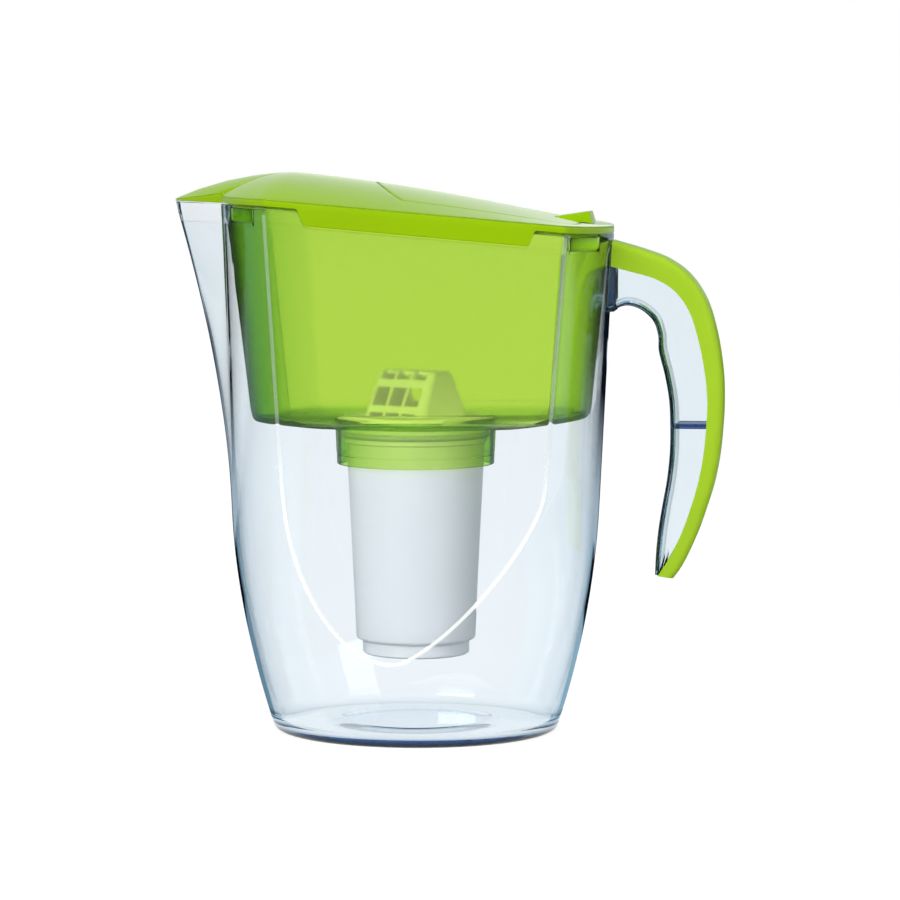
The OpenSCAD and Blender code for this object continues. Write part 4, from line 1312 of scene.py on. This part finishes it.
# Round the object and on the floor beside it: even tones
bounce_flag("flag_front", standing(-BOUNCE_X, BOUNCE_FRONT, BOUNCE_X, BOUNCE_FRONT), FRONT_TONE)
bounce_flag("flag_side_left", standing(-BOUNCE_X, BOUNCE_FRONT, -BOUNCE_X, BOUNCE_BACK),
            LEFT_TONE)
bounce_flag("flag_side_right", standing(BOUNCE_X, BOUNCE_FRONT, BOUNCE_X, BOUNCE_BACK),
            RIGHT_TONE)
# Behind the object: pale low down and high up, dark where light guided in the walls comes from
BACK_Y, EDGE_TONE = 590.0, (0.003, 0.006, 0.012)
BACK_LEFT, BACK_RIGHT, BACK_LOW, BACK_HIGH = -300.0, 130.0, 150.0, 205.0


def upright(x0, x1, z0, z1):
    return [(x0, BACK_Y, z0), (x1, BACK_Y, z0), (x1, BACK_Y, z1), (x0, BACK_Y, z1)]


for label, x0, x1 in (("left", -BOUNCE_X, BACK_LEFT), ("right", BACK_RIGHT, BOUNCE_X)):
    bounce_flag("flag_back_" + label, upright(x0, x1, 1, BACK_HIGH), EDGE_TONE,
                (40.0, 110.0, BACK_TONE))
bounce_flag("flag_back_middle", upright(BACK_LEFT, BACK_RIGHT, BACK_LOW, BACK_HIGH), EDGE_TONE)
bounce_flag("flag_back_high", upright(-BOUNCE_X, BOUNCE_X, BACK_HIGH, BOUNCE_TOP), BACK_TONE)
bounce_flag("flag_floor_behind", [(-250, 250, 3), (180, 250, 3), (700, 2500, 3),
                                  (-1330, 2500, 3)], EDGE_TONE)
bounce_flag("flag_floor_front", lying(-BOUNCE_X, BOUNCE_FRONT, BOUNCE_X, -68), FRONT_TONE)
bounce_flag("flag_floor_left", lying(-BOUNCE_X, -68, -74, BOUNCE_BACK), LEFT_TONE)
bounce_flag("flag_floor_right", lying(74, -68, BOUNCE_X, BOUNCE_BACK), RIGHT_TONE)


def aim(obj, target):
    away = Vector(target) - obj.location
    obj.rotation_euler = away.to_track_quat("-Z", "Y").to_euler()


def area_light(name, location, size, watts):
    """A lamp aimed at the object, which no gloss mirrors."""
    light = bpy.data.lights.new(name, "AREA")
    light.shape = "RECTANGLE"
    light.size, light.size_y = size
    light.energy = watts
    obj = scene_object(name, light)
    obj.location = location
    obj.visible_glossy = False
    aim(obj, MIDDLE)


MIDDLE = (0.0, 0.0, 0.15)
area_light("key", (-0.8, -1.6, 0.75), (0.9, 0.9), 16)
area_light("fill", (1.3, -1.3, 0.6), (1.0, 1.2), 9)
area_light("top", (0.1, 0.2, 1.8), (1.2, 1.2), 4)

TARGET = Vector((16.5, 0.0, 134.8)) * MM
DISTANCE = 1824.0 * MM
AZIMUTH, ELEVATION = math.radians(6.5), math.radians(5.07)
SENSOR, FOCAL_PX, FRAME_PX = 36.0, 3800.0, 900.0


def photo_camera():
    cam = bpy.data.cameras.new("photo_camera")
    cam.sensor_width = SENSOR
    cam.lens = FOCAL_PX / FRAME_PX * SENSOR
    cam.clip_end = 50
    obj = scene_object("photo_camera", cam)
    back = Vector((
        math.sin(AZIMUTH) * math.cos(ELEVATION),
        -math.cos(AZIMUTH) * math.cos(ELEVATION),
        math.sin(ELEVATION),
    ))
    obj.location = TARGET + back * DISTANCE
    aim(obj, TARGET)
    bpy.context.scene.camera = obj


photo_camera()
bpy.context.scene.view_settings.view_transform = "Standard"
